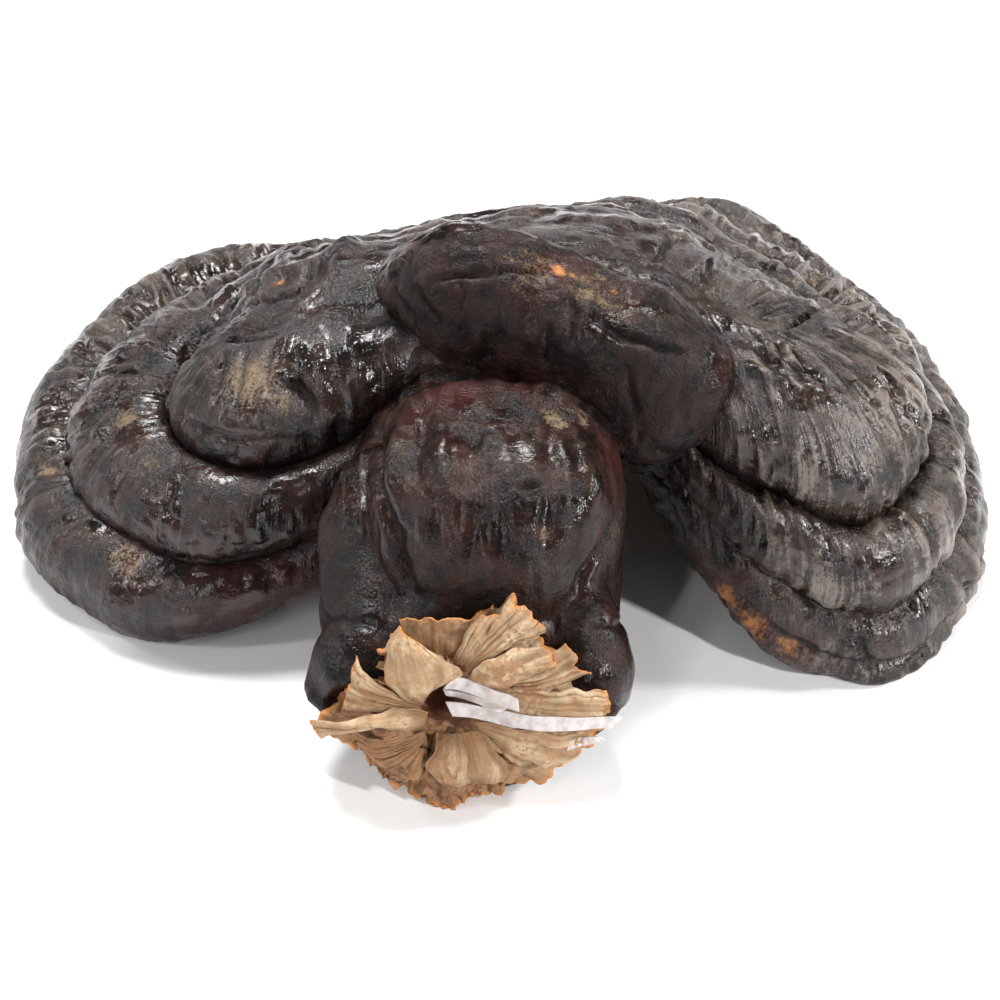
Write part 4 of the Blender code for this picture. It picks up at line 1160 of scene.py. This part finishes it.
def buildFilm(index, name, start, end, startWidth, endWidth, standOff):
    s = np.linspace(0, 1, 90)[:, None]
    run = np.subtract(end, start)
    heading = unit(run)
    edge = np.linspace(-1, 1, 17)[None]
    slant = films["slant"][index] * edge * (s - 0.5)
    middle = np.asarray(start) + run * s
    half = (startWidth + (endWidth - startWidth) * s) / 2
    half = half * (1 + 0.04 * ripples(s, 1, 4, 3, 80 + index)) * edge
    across = middle[:, :1] - heading[1] * half + heading[0] * slant
    up = middle[:, 1:] + heading[0] * half + heading[1] * slant
    # it rides over the highest folds under its width, evened out along its length
    turn = turnOf(across, up)
    hole = tear["holeRadius"]
    share = np.clip((np.hypot(across, up) - hole) / (rimReach(turn) - hole), 0, 1)
    stand = (foldHeight(turn, share) + films["clear"]).max(1)
    stand = np.convolve(np.pad(stand, 12, "edge"), np.ones(25) / 25, "valid")[:, None] + standOff
    stand = stand + 0.35 * edge * np.sin(5 * s + index) + 0.10 * ripples(s, 2, 6, 4, 90 + index)
    piece = layGrid(f"strip{index}_{name}", onFace(across, up, stand))
    finishWith(piece, "SOLIDIFY", thickness=films["thickness"] * mm, offset=0)
    bpy.ops.object.shade_smooth()
    return piece


filmPieces = [buildFilm(k, *strip) for k, strip in enumerate(films["strips"])]
print("film laid")


# Materials

class Wire:
    # a socket that takes sums; values stay values and wires stay wires
    def __init__(self, board, socket):
        self.board, self.socket = board, socket

    def __add__(self, other): return self.board.maths("ADD", self, other)
    def __radd__(self, other): return self.board.maths("ADD", other, self)
    def __sub__(self, other): return self.board.maths("SUBTRACT", self, other)
    def __rsub__(self, other): return self.board.maths("SUBTRACT", other, self)
    def __mul__(self, other): return self.board.maths("MULTIPLY", self, other)
    def __rmul__(self, other): return self.board.maths("MULTIPLY", other, self)


class Board:
    # the node tree of one material
    def __init__(self, name):
        self.material = bpy.data.materials.new(name)
        self.material.use_nodes = True
        self.tree = self.material.node_tree

    def join(self, value, socket):
        if isinstance(value, Wire):
            self.tree.links.new(value.socket, socket)
        else:
            socket.default_value = value

    def node(self, kind, settings, sockets, result=0):
        node = self.tree.nodes.new("ShaderNode" + kind)
        for key, value in settings.items():
            setattr(node, key, value)
        for key, value in sockets.items():
            self.join(value, node.inputs[key])
        return Wire(self, node.outputs[result])

    def maths(self, how, first, second):
        return self.node("Math", {"operation": how}, {0: first, 1: second})

    def clamp(self, value, low, high):
        return self.node("MapRange", {"clamp": True, "interpolation_type": "SMOOTHSTEP"},
                         {"Value": value, "From Min": low, "From Max": high})

    def blend(self, share, first, second):
        return self.node("Mix", {"data_type": "RGBA"}, {0: share, 6: first, 7: second}, result=2)

    def mark(self, name, result="Fac"):
        return self.node("Attribute", {"attribute_name": name}, {}, result)

    def stretch(self, vector, scale):
        return self.node("VectorMath", {"operation": "MULTIPLY"}, {0: vector, 1: scale})

    def here(self, scale):
        # places on the piece, in lumps of which there are so many to the millimetre
        return self.stretch(self.node("TexCoord", {}, {}, "Object"), (scale / mm,) * 3)

    def noise(self, vector, detail, rough=0.5):
        sockets = {"Vector": vector, "Scale": 1.0, "Detail": detail, "Roughness": rough}
        return self.node("TexNoise", {}, sockets)

    def cloud(self, scale, detail, rough=0.5):
        return self.noise(self.here(scale), detail, rough)

    def layers(self, colour, looks, *listed):
        # lays each look over those before it by its share
        for share, tint in listed:
            colour = self.blend(share, colour, looks[tint])
        return colour

    def bump(self, height, distance, strength):
        return self.node("Bump", {}, {"Height": height, "Distance": distance, "Strength": strength})

    def surface(self, **values):
        for key, value in values.items():
            self.join(value, self.tree.nodes["Principled BSDF"].inputs[key.replace("_", " ")])


def rgb(r, g, b):
    return (r, g, b, 1.0)


lacquer = {
    "dark": rgb(0.0052, 0.0034, 0.0028),
    "purple": rgb(0.0235, 0.0103, 0.0088),
    "haze": rgb(0.044, 0.034, 0.028),
    "bloom": rgb(0.150, 0.127, 0.110),
    # ridge: painted light on fold crests that face up, and also the colour of the scuffs
    "ridge": rgb(0.082, 0.056, 0.040),
    "red": rgb(0.044, 0.0095, 0.0080),
    "dust": rgb(0.21, 0.142, 0.076),
    "rust": rgb(0.42, 0.165, 0.05),
    # painted shade: near-black for the shaded patches and for the floors of the creases
    "shade": rgb(0.0035, 0.0026, 0.0023),
    "deep": rgb(0.002, 0.0014, 0.0012),
    # lumps to the millimetre, detail and roughness: broad, middle, fine, specks and patches of gloss
    "clouds": ((0.045, 3.0), (0.17, 4.0, 0.6), (0.75, 3.0, 0.65), (2.0, 2.0, 0.6), (0.10, 4.0, 0.6)),
    "streaks": (0.75, 0.75, 0.06),
    "rough": 0.30,
    "gloss": 0.10,
    "bump": 0.0014,
    # specular level of each piece's skin
    "sheen": {"cap_skin": 0.40, "brow_skin": 0.17, "stem_skin": 0.20},
}


def lacquerSkin(name):
    board = Board(name)
    marks = {n: board.mark(n) for n in (*skinMarks, "relief", "deep", "striped", "powder", "open")}
    relief, striped, bare = marks["relief"], marks["striped"], marks["open"]
    upward = board.clamp(board.node("SeparateXYZ", {}, {0: board.mark("facing", "Vector")}, "Z"), 0.35, 0.95)
    broad, middle, fine, specks, patches = (board.cloud(*each) for each in lacquer["clouds"])
    streaks = board.noise(board.stretch(board.mark("grain", "Vector"), lacquer["streaks"]), 3.0, 0.6)
    # grey bloom as a soft haze and as strokes along the grain, partly painted light: heaped on faces that
    # look up and lighter on fold crests
    powder = marks["powder"] * (bare + upward * (1.0 - bare))
    haze = board.clamp(broad * 0.55 + middle * 0.5 + fine * 0.3, 0.52, 0.9) * powder
    strokes = streaks * 0.7 + fine * 0.5 + specks * 0.3 + middle * 0.25 + relief * 0.25
    strokes = board.clamp(strokes, 0.84, 1.26) * powder * (0.25 + striped * 0.75)
    # painted light: fold crests that face up are lightened in the ridge colour; the scuffs, real wear, share
    # that colour
    ridge = board.clamp(relief * 0.6 + fine * 0.5 + broad * 0.4, 0.52, 1.0) * (0.25 + upward * 0.75)
    scuffs = board.clamp(specks * 0.7 + fine * 0.5, 0.70, 0.80)
    red = board.clamp(marks["red"] * (0.55 + middle * 0.9), 0.25, 0.95)
    dust = marks["dust"] * 0.55 + specks * 0.7 + fine * 0.45 + streaks * 0.5 - relief * 0.3
    dust = board.clamp(dust, 1.08, 1.46)
    rust = board.clamp(marks["rust"] * (middle * 0.5 + fine * 0.9), 0.40, 0.72)
    # painted shade: the shade patches and the darkened creases of the deep mark
    shade, deep = board.clamp(marks["shade"], 0.0, 1.0), board.clamp(marks["deep"], 0.15, 0.9)
    colour = board.blend(board.clamp(middle, 0.38, 0.62), lacquer["dark"], lacquer["purple"])
    colour = board.layers(
        colour, lacquer, (board.clamp(haze * 0.9, 0.0, 1.0), "haze"),
        (board.clamp(strokes * (0.35 + middle * 1.3), 0.0, 1.0), "bloom"),
        (ridge * 0.5, "ridge"), (scuffs * 0.45, "ridge"), (red * 0.75, "red"), (dust * 0.8, "dust"),
        (rust * 0.85, "rust"), (shade * 0.75, "shade"), (deep * 0.85, "deep"))
    # dry where powder, dust or creases lie, glossy in patches elsewhere
    dry = board.clamp(haze * 0.15 + strokes * 0.3 + dust + rust + deep + marks["dull"], 0.0, 1.0)
    gloss = board.clamp(patches + marks["shine"] * 0.16 - upward * 0.03, 0.46, 0.58) * (1.0 - dry * 0.8)
    rough = lacquer["rough"] + fine * 0.08 + dry * 0.24 - gloss * (lacquer["rough"] - lacquer["gloss"])
    height = streaks * (striped * 0.60 + 0.10) + fine * 0.34 + specks * 0.22 + middle * 0.35
    board.surface(Base_Color=colour, Roughness=rough, Specular_IOR_Level=lacquer["sheen"][name],
                  Normal=board.bump(height, lacquer["bump"], 0.95 - gloss * 0.66))
    return board.material


tissue = {
    "pale": (rgb(0.29, 0.182, 0.095), rgb(0.48, 0.365, 0.230)),
    "brown": rgb(0.16, 0.085, 0.040),
    "stain": rgb(0.20, 0.085, 0.032),
    "mottle": rgb(0.28, 0.145, 0.064),
    "rim": rgb(0.42, 0.17, 0.045),
    "hole": rgb(0.34, 0.18, 0.105),
    # lumps to the millimetre, detail and roughness: broad, middle, fine and specks
    "clouds": ((0.14, 3.0), (0.32, 3.0, 0.6), (0.9, 3.0, 0.6), (2.2, 2.0, 0.6)),
    "fibres": (1.9, 1.9, 0.2),
    "rough": 0.7,
    "sheen": 0.35,
}


def paperTissue(name):
    board = Board(name)
    light, edge = board.mark("light"), board.mark("edge")
    broad, middle, fine, specks = (board.cloud(*each) for each in tissue["clouds"])
    fibres = board.noise(board.stretch(board.mark("grain", "Vector"), tissue["fibres"]), 2.0)
    pale = board.blend(board.clamp(broad * 0.6 + fibres * 0.4, 0.35, 0.65), *tissue["pale"])
    # brown where the light mark is low: real brown tissue and stains, and the painted shade of fold valleys
    # and crumples
    colour = board.blend(board.clamp(light, 0.30, 0.95), tissue["brown"], pale)
    stain = board.clamp(fine * 0.6 + broad * 0.6 + specks * 0.2, 0.74, 0.86)
    mottle = board.clamp(middle + fine * 0.5 - light * 0.22, 0.48, 0.74)
    rim = board.clamp(edge * (0.45 + fine), 0.35, 0.95)
    colour = board.layers(colour, tissue, (stain * 0.80, "stain"), (mottle * 0.70, "mottle"), (rim, "rim"))
    colour = board.blend(board.clamp(light, 0.0, 0.25), tissue["hole"], colour)
    board.surface(Base_Color=colour, Roughness=tissue["rough"], Specular_IOR_Level=tissue["sheen"],
                  Normal=board.bump(fibres * 0.30 + fine * 0.6 + middle * 0.8, 0.0008, 0.7))
    return board.material


pores = {
    "brown": rgb(0.10, 0.055, 0.03),
    "tan": rgb(0.22, 0.14, 0.08),
    "holes": 2.4,
    "cloud": (0.07, 3.0),
    "rough": 0.8,
}


def poreSurface(name):
    board = Board(name)
    holes = board.node("TexVoronoi", {"feature": "F1"}, {"Vector": board.here(pores["holes"])})
    colour = board.blend(board.cloud(*pores["cloud"]), pores["brown"], pores["tan"])
    board.surface(Base_Color=colour, Roughness=pores["rough"], Normal=board.bump(holes, 0.0004, 0.7))
    return board.material


frosting = {
    "thin": rgb(0.56, 0.50, 0.49),
    "thick": rgb(0.72, 0.67, 0.66),
    "cloud": (0.5, 3.0),
    "rough": 0.30,
    "alpha": (0.46, 0.72),
}


def frostedFilm(name):
    board = Board(name)
    cloud = board.cloud(*frosting["cloud"])
    low, high = frosting["alpha"]
    board.surface(Base_Color=board.blend(cloud, frosting["thin"], frosting["thick"]),
                  Roughness=frosting["rough"], Alpha=board.clamp(cloud, 0.25, 0.75) * (high - low) + low)
    return board.material


def dress(pieces, material, slot, *nodes):
    for piece in pieces:
        piece.data.materials.clear()
        piece.data.materials.append(material)
        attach(piece, "root")
        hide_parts(*nodes)


dress((innerTier, middleRoll, marginRoll), lacquerSkin("cap_skin"), "lacquered_skin", "reishi_body")
dress((browPiece,), lacquerSkin("brow_skin"), "lacquered_skin", "reishi_body")
dress((stemPiece, tonguePiece), lacquerSkin("stem_skin"), "lacquered_skin", "reishi_body")
dress((underside,), poreSurface("pores"), "lacquered_skin", "reishi_body")
dress((tearPiece, upperSheets, lowerSheets), paperTissue("paper"), "lacquered_skin", "reishi_body")
film = frostedFilm("film")
for piece, strip in zip(filmPieces, films["strips"]):
    dress((piece,), film, "frosted_film", strip[0])
print("materials made")


# Floor, light and camera

studio = {
    "floor": rgb(0.86, 0.86, 0.86),
    "sky": 0.16,
    # each light: place, the spot it faces, size, power
    "lights": {
        "overhead": ((-0.1, 0.45, 1.0), (0, 0, 0.03), (0.5, 0.25), 20.0),
        "front left": ((-0.86, -0.3, 0.55), (0, -0.02, 0.03), (0.05, 0.2), 3.2),
        "front right": ((0.8, -0.6, 0.55), (0.05, 0, 0.03), (0.06, 0.12), 10.0),
        "strip": ((-0.36, -0.85, 0.58), (-0.03, 0, 0.03), (0.04, 0.9), 3.6),
        "left": ((-0.9, 0.35, 0.6), (0, 0, 0.03), (0.1, 0.1), 2.6),
        "right": ((1.0, 0.1, 0.75), (0.05, 0.02, 0.03), (0.12, 0.12), 9.0),
    },
    "elevation": 38.0,
    "distance": 520.0,
    "target": (0.0, 0.0, 30.0),
    "lens": 95.0,
}


def setStudio():
    scene = bpy.context.scene
    bpy.ops.object.select_all(action="DESELECT")
    bpy.ops.mesh.primitive_plane_add(size=4.0, location=(0, 0, 0))
    floor = bpy.context.object
    floor.name = "floor"
    board = Board("floor")
    board.surface(Base_Color=studio["floor"], Roughness=0.9, Specular_IOR_Level=0.1)
    floor.data.materials.append(board.material)
    scene.world = bpy.data.worlds.new("studio")
    scene.world.use_nodes = True
    sky = scene.world.node_tree.nodes["Background"]
    sky.inputs["Color"].default_value = (1, 1, 1, 1)
    sky.inputs["Strength"].default_value = studio["sky"]
    for name, (spot, aim, size, power) in studio["lights"].items():
        light = bpy.data.lights.new(name, "AREA")
        light.shape = "RECTANGLE"
        light.size, light.size_y = size
        light.energy = power
        lamp = bpy.data.objects.new(name, light)
        lamp.location = spot
        lamp.rotation_euler = (Vector(aim) - Vector(spot)).to_track_quat("-Z", "Y").to_euler()
        scene.collection.objects.link(lamp)
    elevation = math.radians(studio["elevation"])
    target = (np.array(studio["target"]) + place) * mm
    camera = bpy.data.objects.new("camera", bpy.data.cameras.new("camera"))
    camera.data.lens = studio["lens"]
    camera.data.sensor_width = 36
    camera.data.clip_start = 0.01
    away = np.array([0, -math.cos(elevation), math.sin(elevation)])
    camera.location = target + studio["distance"] * mm * away
    camera.rotation_euler = (math.radians(90) - elevation, 0, 0)
    scene.collection.objects.link(camera)
    bpy.context.scene.camera = camera
    scene.view_settings.view_transform = "Standard"


setStudio()
print("studio set")
